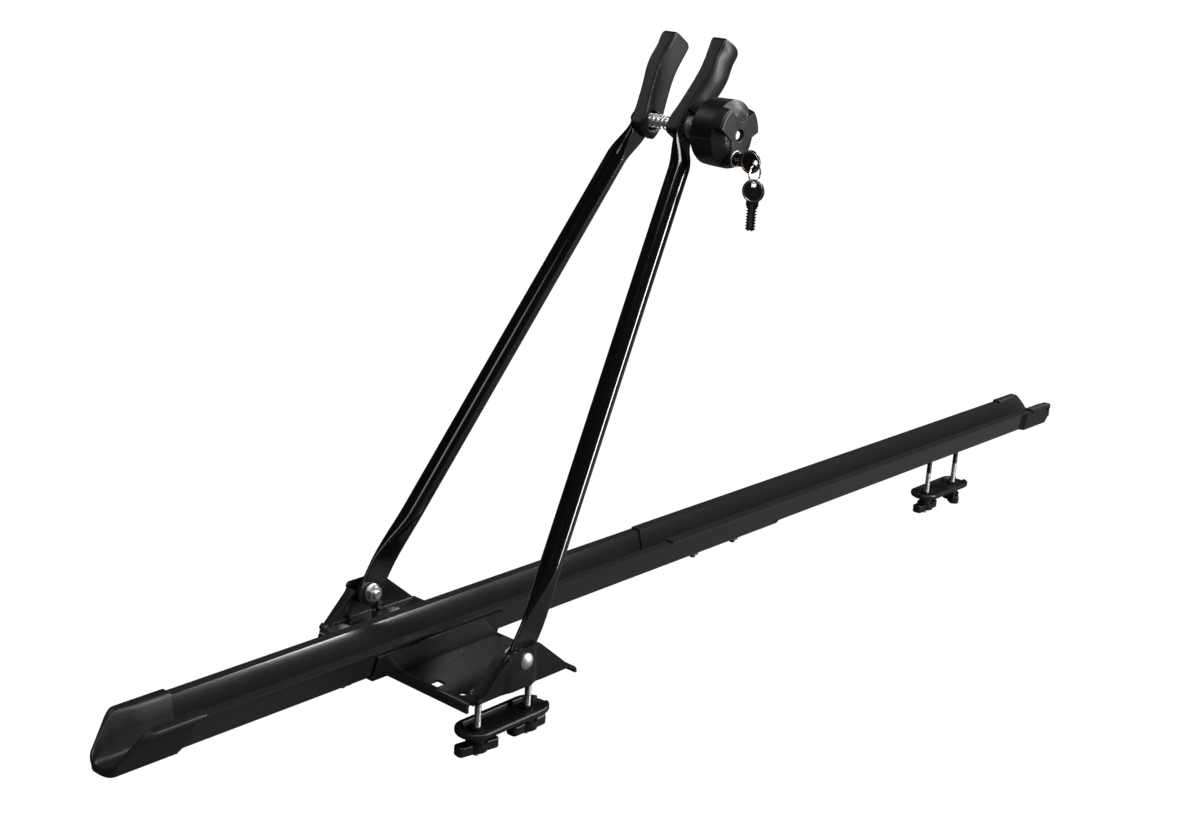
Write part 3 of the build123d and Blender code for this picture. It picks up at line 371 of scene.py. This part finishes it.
def dome(radius, height, lip=0.5):
    """The profile of a low domed head with a small flat lip."""
    ball = (radius * radius + (height - lip) ** 2) / (2 * (height - lip))
    points = [(0.0, 0.0), (radius, 0.0), (radius, lip)]
    for k in range(1, 9):
        r = radius * (1 - k / 8)
        points.append((r, lip + math.sqrt(ball * ball - r * r) - (ball - (height - lip))))
    return points


def tube(shape, points, radius, segments=12, closed=False, squash=1.0):
    """A round wire along points."""
    rows = []
    count = len(points)
    ways = []
    for i in range(count):
        a = points[(i - 1) % count if closed else max(i - 1, 0)]
        b = points[(i + 1) % count if closed else min(i + 1, count - 1)]
        ways.append((b - a).normalized())
    side = ways[0].orthogonal().normalized()
    for p, way in zip(points, ways):
        side = (side - way * side.dot(way)).normalized()
        other = way.cross(side)
        rows.append([
            p + (side * math.cos(t) + other * math.sin(t) * squash) * radius
            for t in around(segments)
        ])
    if closed:
        rows.append(rows[0])
    shape.grid(rows, start_cap=not closed, end_cap=not closed)


def hexagon_nut(shape, flats, height, flange, flange_height, base, axis, bore):
    """A chamfered flange nut."""
    u, v, w = basis(axis)
    base = Vector(base)
    corner = flats / math.sqrt(3)
    segments = 48

    def ring(h, cut):
        row = []
        for a in around(segments):
            local = (a + math.pi / 6) % (math.pi / 3) - math.pi / 6
            r = min(flats / 2 / math.cos(local), cut)
            row.append(base + w * h + (u * math.cos(a) + v * math.sin(a)) * r)
        return row

    def circle(h, r):
        return [base + w * h + (u * math.cos(a) + v * math.sin(a)) * r for a in around(segments)]

    rows = [circle(0.02, bore)]
    if flange > corner:
        rows += [
            circle(0, flange * 0.97), circle(flange_height * 0.5, flange),
            circle(flange_height, flange * 0.96), circle(flange_height * 1.15, corner * 1.02),
        ]
    rows += [
        ring(flange_height * 1.2, corner), ring(height - 0.9, corner), ring(height, flats / 2),
        circle(height, bore * 1.12), circle(height - 0.6, bore), circle(0.02, bore),
    ]
    shape.grid(rows)


def soft_edges(obj, width, angle):
    """Rounds the sharp edges a little and keeps the flats flat."""
    soft = obj.modifiers.new("soft_edges", "BEVEL")
    soft.width = width * MM
    soft.segments = 2
    soft.limit_method = "ANGLE"
    soft.angle_limit = math.radians(angle)
    flat_faces(obj)


def flat_faces(obj):
    """Weights the normals by the size of the faces."""
    normals = obj.modifiers.new("normals", "WEIGHTED_NORMAL")
    normals.keep_sharp = True


# Pieces

def carriage_bolts(name, node, body, places, seat_z, tip_z, material):
    """Domed bolts with square necks and rolled threads."""
    s = Shape()
    for x, y in places:
        lathe(s, dome(M6_HEAD, M6_HEAD_HEIGHT), (x, y, seat_z), (0, 0, 1))
        half = 3.1
        corners = [(x - half, y - half), (x + half, y - half), (x + half, y + half), (x - half, y + half)]
        rows = [[Vector((a, b, z)) for a, b in corners] for z in (seat_z, seat_z - 2.0)]
        s.grid(rows, end_cap=True)
        thread(s, M6_RADIUS, M6_PITCH, 0.4, (x, y, seat_z - 2.0), (0, 0, -1), seat_z - 2.0 - tip_z)
    obj = piece(name, s.verts, s.faces, material, body)
    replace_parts(obj, node)


def bare_threads(name, node, body, places, high_z, tip_z):
    """The bare plated ends of bolts."""
    s = Shape()
    for x, y in places:
        thread(s, M6_RADIUS, M6_PITCH, 0.4, (x, y, high_z), (0, 0, -1), high_z - tip_z)
    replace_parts(piece(name, s.verts, s.faces, "stud", body), node)


def rail_bolts(name, node, places, seat_z, tip_z):
    """Domed bolts in the rail's floor."""
    s = Shape()
    for x in places:
        lathe(s, dome(M6_HEAD, M6_HEAD_HEIGHT), (x, 0, seat_z), (0, 0, 1))
        thread(s, M6_RADIUS, M6_PITCH, 0.5, (x, 0, seat_z), (0, 0, -1), seat_z - tip_z)
    obj = piece(name, s.verts, s.faces, "steel", "base")
    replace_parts(obj, node)


def m8_nut(shape, base, axis):
    """A flange nut for the larger bolts."""
    sizes = (M8_NUT_FLATS, M8_NUT_HEIGHT, M8_FLANGE, M8_FLANGE_HEIGHT)
    hexagon_nut(shape, *sizes, base, axis, M8_BORE)


def pivots():
    """The bolts and nuts that the arms turn on."""
    bolts, nuts = Shape(), Shape()
    for side in (1, -1):
        face = (PIVOT_X, side * (EAR_Y + EAR_PRESS), PIVOT_Z)
        lathe(bolts, dome(M8_HEAD, M8_HEAD_HEIGHT, 1.2), face, (0, side, 0))
        seat = FOOT_Y - FOOT_HALF - TILT_GAP
        inner = seat - M8_NUT_HEIGHT - M8_PROUD
        start = (PIVOT_X, side * EAR_Y, PIVOT_Z)
        thread(bolts, M8_RADIUS, M8_PITCH, 0.65, start, (0, -side, 0), EAR_Y - inner)
        m8_nut(nuts, (PIVOT_X, side * seat, PIVOT_Z), (0, -side, 0))
    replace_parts(piece("pivot_bolt_pair", bolts.verts, bolts.faces, "head", "base"), "pivot_bolts")
    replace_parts(piece("pivot_nut_pair", nuts.verts, nuts.faces, "head", "base"), "pivot_nuts")


def rod():
    """The threaded clamp rod and the nut at its far end."""
    s = Shape()
    lathe(s, [(0, 0), (3.6, 0), (4.0, 0.5), (3.4, 0.9)], (ROD_X, ROD_FAR_Y, ROD_Z), (0, -1, 0), 24)
    start_y = ROD_FAR_Y - 0.5
    thread(s, M8_RADIUS, M8_PITCH, 0.5, (ROD_X, start_y, ROD_Z), (0, -1, 0), start_y - ROD_NEAR_Y)
    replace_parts(piece("clamp_screw", s.verts, s.faces, "head", "far_arm"), "clamp_rod")
    n = Shape()
    m8_nut(n, (ROD_X, ROD_NUT_Y, ROD_Z), (0, 1, 0))
    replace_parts(piece("screw_end_nut", n.verts, n.faces, "zinc", "far_arm"), "rod_end_nut")


def spring():
    """The coil between the jaws, its ends closed against the seats."""
    samples = 40
    path = []
    for i in range(int((SPRING_TURNS + 2 * SPRING_CLOSED) * samples) + 1):
        turn = i / samples - SPRING_CLOSED
        if turn < 0:
            y = -SPRING_REACH
        elif turn > SPRING_TURNS:
            y = SPRING_REACH
        else:
            y = -SPRING_REACH + 2 * SPRING_REACH * turn / SPRING_TURNS
        a = 2 * math.pi * turn
        path.append(Vector((ROD_X + SPRING_RADIUS * math.cos(a), y, ROD_Z + SPRING_RADIUS * math.sin(a))))
    ends = int(samples / 4)
    rounds, step = 4, 3
    for _ in range(rounds):
        ys = [p.y for p in path]
        for i in range(ends, len(path) - ends):
            path[i].y = (ys[i - step] + ys[i] + ys[i + step]) / 3
    s = Shape()
    tube(s, path, SPRING_WIRE / 2, 10)
    obj = piece("jaw_spring", s.verts, s.faces, "head", None)
    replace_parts(obj, "clamp_spring")
    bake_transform(obj)


def split_ring():
    """The key ring: a flat wire wound twice."""
    s = Shape()
    points = []
    centre_z = RING_TOP_Z - RING_RADIUS
    steps, wire, offset = 144, 0.5, 0.36
    for i in range(steps + 1):
        t = i / steps
        a = math.pi / 2 + 4 * math.pi * t
        across, up = RING_RADIUS * math.cos(a), RING_RADIUS * math.sin(a)
        side = offset * math.tanh(9 * (t - 0.5))
        points.append(Vector((LOCK_X + across, BOW_HOLE_Y + side, centre_z + up)))
    tube(s, points, wire, 10)
    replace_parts(piece("split_key_ring", s.verts, s.faces, "chrome", "ring"), "key_ring")


def knob_slope(r):
    """How far the valley between two lobes lies behind the face at a radius."""
    floor_radius, floor_depth, rim_depth = 19, 1.3, 8.5
    share = max(0.0, (r - floor_radius) / (DRUM_RADIUS - floor_radius))
    return floor_depth + share * (rim_depth - floor_depth)


def off_middle(angle, middles):
    """Degrees to the nearest of some angles."""
    return min(abs((angle - c + 180) % 360 - 180) for c in middles)


def knob_column(angle):
    """The knob's skin at one angle: radius and depth behind the face, from the rod's hole to the back."""
    lobe = off_middle(angle, LOBE_MIDDLES)
    reach = LOBE_HALF / max(math.sin(math.radians(lobe)), 0.01)
    column = [(5.2, 9), (5.2, 0.7), (5.9, 0)]
    if reach < LOBE_REACH:
        foot = reach + 0.4
        column += [(reach - 1.0, 0), (reach - 0.35, 0.15), (reach, 0.6), (foot, knob_slope(foot))]
        start, deep = reach + 0.8, None
    else:
        column += [(25.4, 0), (26.6, 0.25), (27.6, 0.9), (28.3, 2.0)]
        start, deep = 28.6, 3.2
    for share in (0, 0.12, 0.26, 0.42, 0.6, 0.8, 1.0):
        r = start + (DRUM_RADIUS - start) * share
        d = knob_slope(r) if deep is None else deep + (8.5 - deep) * share
        column.append((r, d))
    seam = 0.35 if off_middle(angle, SEAM_MIDDLES) < 0.8 else 0
    drum = ((30.15, 9.1), (30.2, 10.5), (30.1, 18), (29.9, 26), (29.5, 31.4))
    column += [(r - seam, d) for r, d in drum] + [(28.4, 33.1), (26.4, 34.0)]
    column += [(22, 34.4), (13, 34.6), (11.6, 35.4), (11.2, 41), (10.6, 42.4), (8.4, 42.8)]
    return column


def knob():
    """The three lobed grip on a round barrel, with stepped valleys between its lobes."""
    angles = []
    for middle in LOBE_MIDDLES:
        angles += [middle + a for a in LOBE_RISE]
        angles += [middle + 120 - a for a in LOBE_FALL]
    columns = []
    for angle in angles:
        a = math.radians(angle)
        columns.append([
            Vector((ROD_X + r * math.cos(a), KNOB_FACE_Y + d, ROD_Z + r * math.sin(a)))
            for r, d in knob_column(angle % 360)
        ])
    s = Shape()
    s.grid([[c[row] for c in columns] for row in range(len(columns[0]))])
    obj = piece("grip", s.verts, s.faces, "plastic", "knob", crease=28)
    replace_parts(obj, "hand_knob")
    soft_edges(obj, 0.45, 28)


def lock_face():
    """The lock's thin bright ring round a dark annulus, with a red mark."""
    ring, dark, mark = Shape(), Shape(), Shape()
    place, out = (LOCK_X, KNOB_FACE_Y, LOCK_Z), (0, -1, 0)
    bright = [(6.5, 0.0), (7.5, 0.0), (7.5, 0.8), (7.2, 1.15), (6.8, 1.15), (6.6, 0.7), (6.5, 0.0)]
    annulus = [(4.75, 0.0), (6.6, 0.0), (6.6, 0.55), (5.2, 0.75), (4.75, 0.5), (4.75, -6)]
    lathe(ring, bright, place, out, 56)
    lathe(dark, annulus, place, out, 56)
    spot = (LOCK_X + 1.2, KNOB_FACE_Y - 0.6, LOCK_Z - 5.7)
    lathe(mark, [(0, 0.5), (0.75, 0.45), (0.95, 0.0), (0, 0)], spot, out, 20)
    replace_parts(piece("lock_bright_ring", ring.verts, ring.faces, "head", "knob"), "lock_ring")
    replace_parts(piece("lock_dark_ring", dark.verts, dark.faces, "key", "knob"), "lock_ring")
    piece("lock_red_mark", mark.verts, mark.faces, "red", "knob")


def shares(points, s):
    """A smooth curve through points that rise along both axes."""
    slopes = []
    for i in range(len(points)):
        a, b = points[max(i - 1, 0)], points[min(i + 1, len(points) - 1)]
        slopes.append((b[1] - a[1]) / (b[0] - a[0]))
    slopes[0] = 0
    for (x0, y0), (x1, y1), m0, m1 in zip(points, points[1:], slopes, slopes[1:]):
        if s <= x1:
            w = x1 - x0
            t = (s - x0) / w
            return (y0 * (2 * t ** 3 - 3 * t * t + 1) + m0 * w * (t ** 3 - 2 * t * t + t)
                    + y1 * (3 * t * t - 2 * t ** 3) + m1 * w * (t ** 3 - t * t))
    return points[-1][1]


def cap_sizes(u):
    """The end cap's heights and widths at u from its nose."""
    fall = shares(CAP_FALL, max(0.0, (CAP_HUMP + 1 - u) / (CAP_HUMP + 1)))
    high = CAP_HIGH - 29.5 * fall
    low = -1.5
    nose = 7
    if u < nose:
        bend = 1 - math.sqrt(max(0.0, 1 - ((nose - u) / nose) ** 2))
        low += 2.6 * bend
        high -= 1.0 * bend
    ease = min(1.0, max(0.0, (u - 6) / (CAP_HUMP - 6)))
    ease = ease * ease * (3 - 2 * ease)
    behind = min(1.0, max(0.0, (u - 20) / 26))
    return high, low, 0.8 + 4.8 * ease * ease, 1.6 + 3.4 * ease, behind


def cap_section(u):
    """Half of the end cap's section: the outer and the inner skin, both from the middle to the rim."""
    high, low, reach, lip, behind = cap_sizes(u)
    wall = 1.9 + 3.1 * behind
    floor_z = low + 1.9 + 2.1 * behind
    size = min(1.0, (high - low) / 14)

    def out(z):
        return 13.06 + 0.288 * (z + 1.5)

    def inside(below, step):
        return out(high - below) - wall + step

    tall = high - low
    edge = out(high) + reach
    outer = [
        (0, low), (10.2, low), (12.4, low + 0.5 * size),
        (out(low) + 0.1, low + 2.2 * size), (out(low + 0.5 * tall), low + 0.5 * tall),
        (out(high - lip), high - lip * size - 0.4), (edge - 0.5, high - lip * size),
        (edge, high - lip * size + 0.6 * size), (edge, high - 1.3 * size),
        (edge - 0.4, high - 0.4 * size), (edge - 1.3, high),
    ]
    inner = [
        (0, floor_z), (out(floor_z) - wall - 4.0, floor_z),
        (out(floor_z) - wall - 1.3, floor_z + 0.7 * size),
        (out(floor_z + 3) - wall, floor_z + 3.2 * size),
        (out(floor_z + 0.5 * tall) - wall, floor_z + 0.5 * (high - floor_z)),
        (inside(5, 0), high - 5 * size), (inside(3, 0), high - 3 * size),
        (inside(1.6, 0), high - 1.6 * size), (inside(0, 0.3), high - 0.8 * size),
        (inside(0, 0.9), high - 0.2 * size), (inside(0, 1.7), high),
    ]
    round_out = math.sqrt(max(0.0, 1 - ((9 - min(u, 9)) / 9) ** 2))
    round_in = math.sqrt(max(0.0, 1 - ((7 - min(max(u - 2, 0), 7)) / 7) ** 2))
    outer = [(y * round_out, z) for y, z in outer]
    inner = [(y * round_in, z) for y, z in inner]
    if u < 2.2:
        inner = [(0, high)] * len(inner)
    return outer, inner


def end_cap(name, node, nose_x, way, floor_z):
    """A scoop shaped end cap whose rim flows down to a rounded nose."""
    rows = []
    for u in CAP_STATIONS:
        outer, inner = cap_section(u)
        shear = min(1.0, max(0.0, (u - 36) / 42))
        row = []
        points = [(-y, z, True) for y, z in outer[::-1]] + [(y, z, True) for y, z in outer[1:]]
        points += [(y, z, False) for y, z in inner[::-1]] + [(-y, z, False) for y, z in inner[1:]]
        for y, z, outside in points:
            back = shear * CAP_SLANT * (1 - z / CAP_HIGH) if outside else 0
            if u == CAP_STATIONS[-1] and outside and abs(y) > 1:
                y -= math.copysign(0.5, y)
            row.append(Vector((nose_x - way * (u - back), y, floor_z + z)))
        rows.append(row)
    s = Shape()
    s.grid(rows)
    base = (len(rows) - 1) * len(rows[0])
    skin = 2 * len(outer) - 1
    for i in range(skin - 1):
        far = base + skin + skin - 1 - i
        s.faces.append([base + i, base + i + 1, far - 1, far])
    obj = piece(name, s.verts, s.faces, "cap", "base", crease=40)
    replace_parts(obj, node)


def key_outline(blade_length, teeth):
    """A key's outline in its own plane: the bow round the origin, the blade along the first axis."""
    start = math.asin(KEY_NECK / KEY_BOW)
    turns = [start + (2 * math.pi - 2 * start) * i / 48 for i in range(49)]
    outline = [(KEY_BOW * math.cos(a), KEY_BOW * math.sin(a)) for a in turns]
    shoulder = KEY_BOW + KEY_EDGE
    tip = KEY_BOW + blade_length
    low = [(shoulder, -KEY_NECK), (shoulder + 0.6, -KEY_WAIST)]
    x = shoulder + 2.0
    while teeth and x < tip - 3.2:
        low += [(x, -KEY_WAIST), (x + 1.0, -KEY_WAIST + 1.4), (x + 1.6, -KEY_WAIST + 1.4)]
        x += 2.6
    low += [(tip - 2.0, -KEY_WAIST), (tip, -1.6), (tip - 1.2, 0)]
    high = [(a, -b) for a, b in low[:-1]][::-1]
    return outline + low + high


def flat_mesh(name, loops):
    """A thin plate with rounded edges from flat outlines, the second one a hole."""
    curve = bpy.data.curves.new(name, "CURVE")
    curve.dimensions = "2D"
    curve.fill_mode = "BOTH"
    curve.extrude = 0.75 * MM
    curve.bevel_depth = 0.25 * MM
    curve.bevel_resolution = 1
    for points in loops:
        spline = curve.splines.new("POLY")
        spline.points.add(len(points) - 1)
        for point, (a, b) in zip(spline.points, points):
            point.co = (a * MM, b * MM, 0, 1)
        spline.use_cyclic_u = True
    source = bpy.data.objects.new(name + "_curve", curve)
    bpy.context.scene.collection.objects.link(source)
    bpy.context.view_layer.update()
    graph = bpy.context.evaluated_depsgraph_get()
    mesh = bpy.data.meshes.new_from_object(source.evaluated_get(graph))
    bpy.data.objects.remove(source)
    return mesh


def placed(name, mesh, material):
    """Puts a finished mesh in the scene with its material."""
    mesh.name = name
    mesh.materials.clear()
    mesh.materials.append(MATERIALS[material])
    obj = bpy.data.objects.new(name, mesh)
    bpy.context.scene.collection.objects.link(obj)
    return obj


def flat_key(name, node, body, middle, blade, flat, blade_length, teeth):
    """A flat key: a round bow with a hole, and a blade; a raised rim round the bow and two rods along the
    blade for the groove's edges, in a brighter metal, are painted highlights.
    """
    centre = Vector(middle)
    side = flat.cross(blade)
    hole = [(-HOLE_OFF + HOLE_RADIUS * math.cos(a), HOLE_RADIUS * math.sin(a)) for a in around(24)]
    mesh = flat_mesh(name, (key_outline(blade_length, teeth), hole))
    turn = Matrix((blade, side, flat)).transposed().to_4x4()
    mesh.transform(Matrix.Translation(centre * MM) @ turn)
    obj = placed(name, mesh, "key")
    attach(obj, body)
    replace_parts(obj, node)
    # painted highlight: bright rods on both faces along the bow's rim and the blade, lit copies of the dark
    # key metal
    painted_glint_rods = Shape()
    ends = (KEY_BOW + 2, KEY_BOW + blade_length - 2.6)
    for face in (1, -1):
        on = centre + flat * (face * 0.98)
        rim = [on + (blade * math.cos(a) + side * math.sin(a)) * 8.9 for a in around(48)]
        tube(painted_glint_rods, rim, 0.3, 6, closed=True)
        for off in (0.7, -0.9):
            tube(painted_glint_rods, [on + blade * d + side * off for d in ends], 0.24, 6)
    piece(name + "_trim", painted_glint_rods.verts, painted_glint_rods.faces, "head", body)


def pressed_bracket():
    """The bracket with the middle of each ear pressed outwards, as a shallow step."""
    mesh = NODES["bracket"].data.copy()
    bm = bmesh.new()
    bm.from_mesh(mesh)
    bmesh.ops.remove_doubles(bm, verts=bm.verts, dist=1e-6)
    for x in (-18, -16.5, -11.5, -10, 15, 16.5, 21.5, 23):
        everything = bm.verts[:] + bm.edges[:] + bm.faces[:]
        bmesh.ops.bisect_plane(bm, geom=everything, plane_co=(x * MM, 0, 0), plane_no=(1, 0, 0))
    for v in bm.verts:
        x, y = v.co.x / MM, abs(v.co.y / MM)
        near = min(max((x + 17.6) / 7.2, 0), max((22.6 - x) / 7.2, 0), 1)
        near = near * near * (3 - 2 * near)
        low = min(max((y - 92.5) / 5.0, 0), 1)
        v.co.y += math.copysign(EAR_PRESS * near * low * MM, v.co.y)
    for face in bm.faces:
        face.smooth = True
    for edge in bm.edges:
        edge.smooth = not (len(edge.link_faces) == 2 and edge.calc_face_angle(0) > math.radians(30))
    bm.to_mesh(mesh)
    bm.free()
    obj = placed("pressed_bracket", mesh, "steel")
    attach(obj, "base")
    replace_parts(obj, "bracket")
    soft_edges(obj, 0.3, 38)


def finish_nodes():
    """Gives each CAD node that shows its material, and softens its edges."""
    looks = {
        "rail_saddle": ("steel", 0.3), "front_rail": ("rail", 0), "rear_rail": ("rail", 0),
        "rail_mount_nuts": ("zinc", 0.2), "rail_joint_nuts": ("zinc", 0.2),
        "pivot_spacers": ("plastic", 0.3), "far_arm_tube": ("arm", 0), "near_arm_tube": ("arm", 0),
        "far_jaw": ("rubber", 0), "near_jaw": ("rubber", 0),
        "clamp_washer": ("stud", 0.2), "knob_insert": ("stud", 0.2), "lock_cylinder": ("key", 0.15),
    }
    for end in ("near", "far", "rear"):
        looks[end + "_clamp_plate"] = ("plastic", 0.4)
        for side in ("front", "back"):
            looks[end + "_wing_nut_" + side] = ("plastic", 0.5)
            looks[end + "_wing_insert_" + side] = ("zinc", 0.2)
    for node, (look, width) in looks.items():
        obj = NODES[node]
        while len(obj.data.materials) < 1:
            obj.data.materials.append(None)
        for slot in obj.material_slots:
            slot.material = MATERIALS[look]
        if look == "arm":
            continue
        weld = obj.modifiers.new("weld", "WELD")
        weld.merge_threshold = 1e-6
        if node in ("far_jaw", "near_jaw"):
            grid = obj.modifiers.new("grid", "REMESH")
            grid.mode = "VOXEL"
            grid.voxel_size = 1.1 * MM
            grid.use_smooth_shade = True
            even = obj.modifiers.new("even", "SMOOTH")
            even.factor = 0.5
            even.iterations = 7
            continue
        if look == "rail":
            flat_faces(obj)
        else:
            soft_edges(obj, width, 38)


# Camera, light and floor

def camera():
    """The camera that sees the object as the photo does."""
    data = bpy.data.cameras.new("camera")
    data.lens = CAMERA_LENS
    data.sensor_width = SENSOR_WIDTH
    data.clip_start = 0.05
    data.clip_end = 60
    yaw, pitch, roll = (math.radians(a) for a in (CAMERA_YAW, CAMERA_PITCH, CAMERA_ROLL))
    flat = math.cos(pitch)
    ahead = Vector((-math.sin(yaw) * flat, math.cos(yaw) * flat, math.sin(pitch)))
    level = ahead.cross(Vector((0, 0, 1))).normalized()
    above = level.cross(ahead)
    right = level * math.cos(roll) + above * math.sin(roll)
    up = above * math.cos(roll) - level * math.sin(roll)
    turn = Matrix((right, up, -ahead)).transposed()
    obj = bpy.data.objects.new("camera", data)
    obj.matrix_world = Matrix.Translation(CAMERA_PLACE) @ turn.to_4x4()
    bpy.context.scene.collection.objects.link(obj)
    bpy.context.scene.camera = obj


def area_light(name, place, aim, size, power):
    """A soft lamp."""
    data = bpy.data.lights.new(name, "AREA")
    data.shape = "RECTANGLE"
    data.size, data.size_y = size
    data.energy = power
    obj = bpy.data.objects.new(name, data)
    obj.location = place
    obj.rotation_euler = (Vector(aim) - Vector(place)).to_track_quat("-Z", "Y").to_euler()
    bpy.context.scene.collection.objects.link(obj)


def camera_ray_mix(tree, seen, lit, out):
    """Shows one shader to the camera and the other to everything else."""
    mix = tree.nodes.new("ShaderNodeMixShader")
    path = tree.nodes.new("ShaderNodeLightPath")
    tree.links.new(path.outputs["Is Camera Ray"], mix.inputs[0])
    tree.links.new(lit, mix.inputs[1])
    tree.links.new(seen, mix.inputs[2])
    tree.links.new(mix.outputs[0], out)


def world():
    """A white surround, dimmer in reflections than to the camera."""
    w = bpy.data.worlds.new("surround")
    bpy.context.scene.world = w
    w.use_nodes = True
    nodes = w.node_tree.nodes
    nodes.clear()
    out = nodes.new("ShaderNodeOutputWorld")
    seen = nodes.new("ShaderNodeBackground")
    lit = nodes.new("ShaderNodeBackground")
    seen.inputs[0].default_value = (1, 1, 1, 1)
    seen.inputs[1].default_value = 1.05
    lit.inputs[0].default_value = (1, 1, 1, 1)
    lit.inputs[1].default_value = 0.02
    camera_ray_mix(w.node_tree, seen.outputs[0], lit.outputs[0], out.inputs[0])


def floor():
    """A pale floor below the clamps, white to the camera."""
    low = min(p[2] for p in cad_box)
    bpy.ops.mesh.primitive_plane_add(size=30, location=(0.35, 0, low - 0.001))
    obj = bpy.context.object
    obj.name = "floor"
    m = bpy.data.materials.new("floor")
    m.use_nodes = True
    tree = m.node_tree
    shader = tree.nodes["Principled BSDF"]
    shader.inputs["Base Color"].default_value = (0.10, 0.10, 0.10, 1)
    shader.inputs["Roughness"].default_value = 1
    glow = tree.nodes.new("ShaderNodeEmission")
    glow.inputs[0].default_value = (1, 1, 1, 1)
    glow.inputs[1].default_value = 1.05
    surface = tree.nodes["Material Output"].inputs["Surface"]
    camera_ray_mix(tree, glow.outputs[0], shader.outputs[0], surface)
    obj.data.materials.append(m)


def lights():
    """Soft studio light: a wide lamp above, a tall one at the right, one low along the rail,
    and weak ones in front and behind."""
    area_light("above", (-0.2, -1.1, 2.7), (0.35, 0, 0.1), (2.2, 0.6), 40)
    area_light("right", (1.50, -2.15, 0.85), (0.15, -0.06, 0.25), (0.30, 2.6), 75)
    area_light("rim", (1.9, -0.25, 1.55), (0.3, 0, 0.04), (0.9, 0.30), 30)
    area_light("front", (-2.3, -1.4, 1.5), (0.1, 0, 0.2), (0.8, 0.8), 5)
    area_light("behind", (-0.6, 2.4, 2.6), (0.3, 0, 0.2), (1.6, 0.5), 8)


bpy.context.scene.view_settings.view_transform = "Standard"
finish_nodes()
front_studs = [(s * STUD_HALF, t * STUD_Y) for t in (1, -1) for s in (-1, 1)]
rear_studs = [(REAR_CLAMP_X - STUD_HALF, 0), (REAR_CLAMP_X + STUD_HALF, 0)]
carriage_bolts("front_studs_threaded", "front_clamp_bolts", "base", front_studs, 2.5, -54.0, "stud")
carriage_bolts("rear_studs_black", "rear_clamp_bolts", "rear_studs", rear_studs, 9.0, -10.0, "steel")
bare_threads("rear_studs_bare", "rear_clamp_bolts", "rear_studs", rear_studs, -10.0, -60.0)
rail_bolts("rail_mount_bolt_pair", "rail_mount_bolts", (-40.0, 50.0), 7.5, -5.5)
rail_bolts("rail_joint_bolt_pair", "rail_joint_bolts", (358.5, 424.5), 9.0, -2.0)
pivots()
rod()
spring()
split_ring()
lock_face()
knob()
end_cap("front_scoop_cap", "front_end_cap", -338.0, -1, 6.0)
end_cap("rear_scoop_cap", "rear_end_cap", 1084.0, 1, 7.5)
lock_place = (LOCK_X, BOW_Y, LOCK_Z)
flat_key("key_in_lock", "inserted_key", "lock", lock_place, Vector((0, 1, 0)), Vector((1, 0, 0)), 20.0, False)
spare_place = (LOCK_X, BOW_HOLE_Y, SPARE_BOW_Z)
spare_flat = Vector((math.cos(SPARE_TWIST), math.sin(SPARE_TWIST), 0))
flat_key("hanging_key", "spare_key", "spare", spare_place, Vector((0, 0, -1)), spare_flat, 25.1, True)
pressed_bracket()
camera()
world()
floor()
lights()
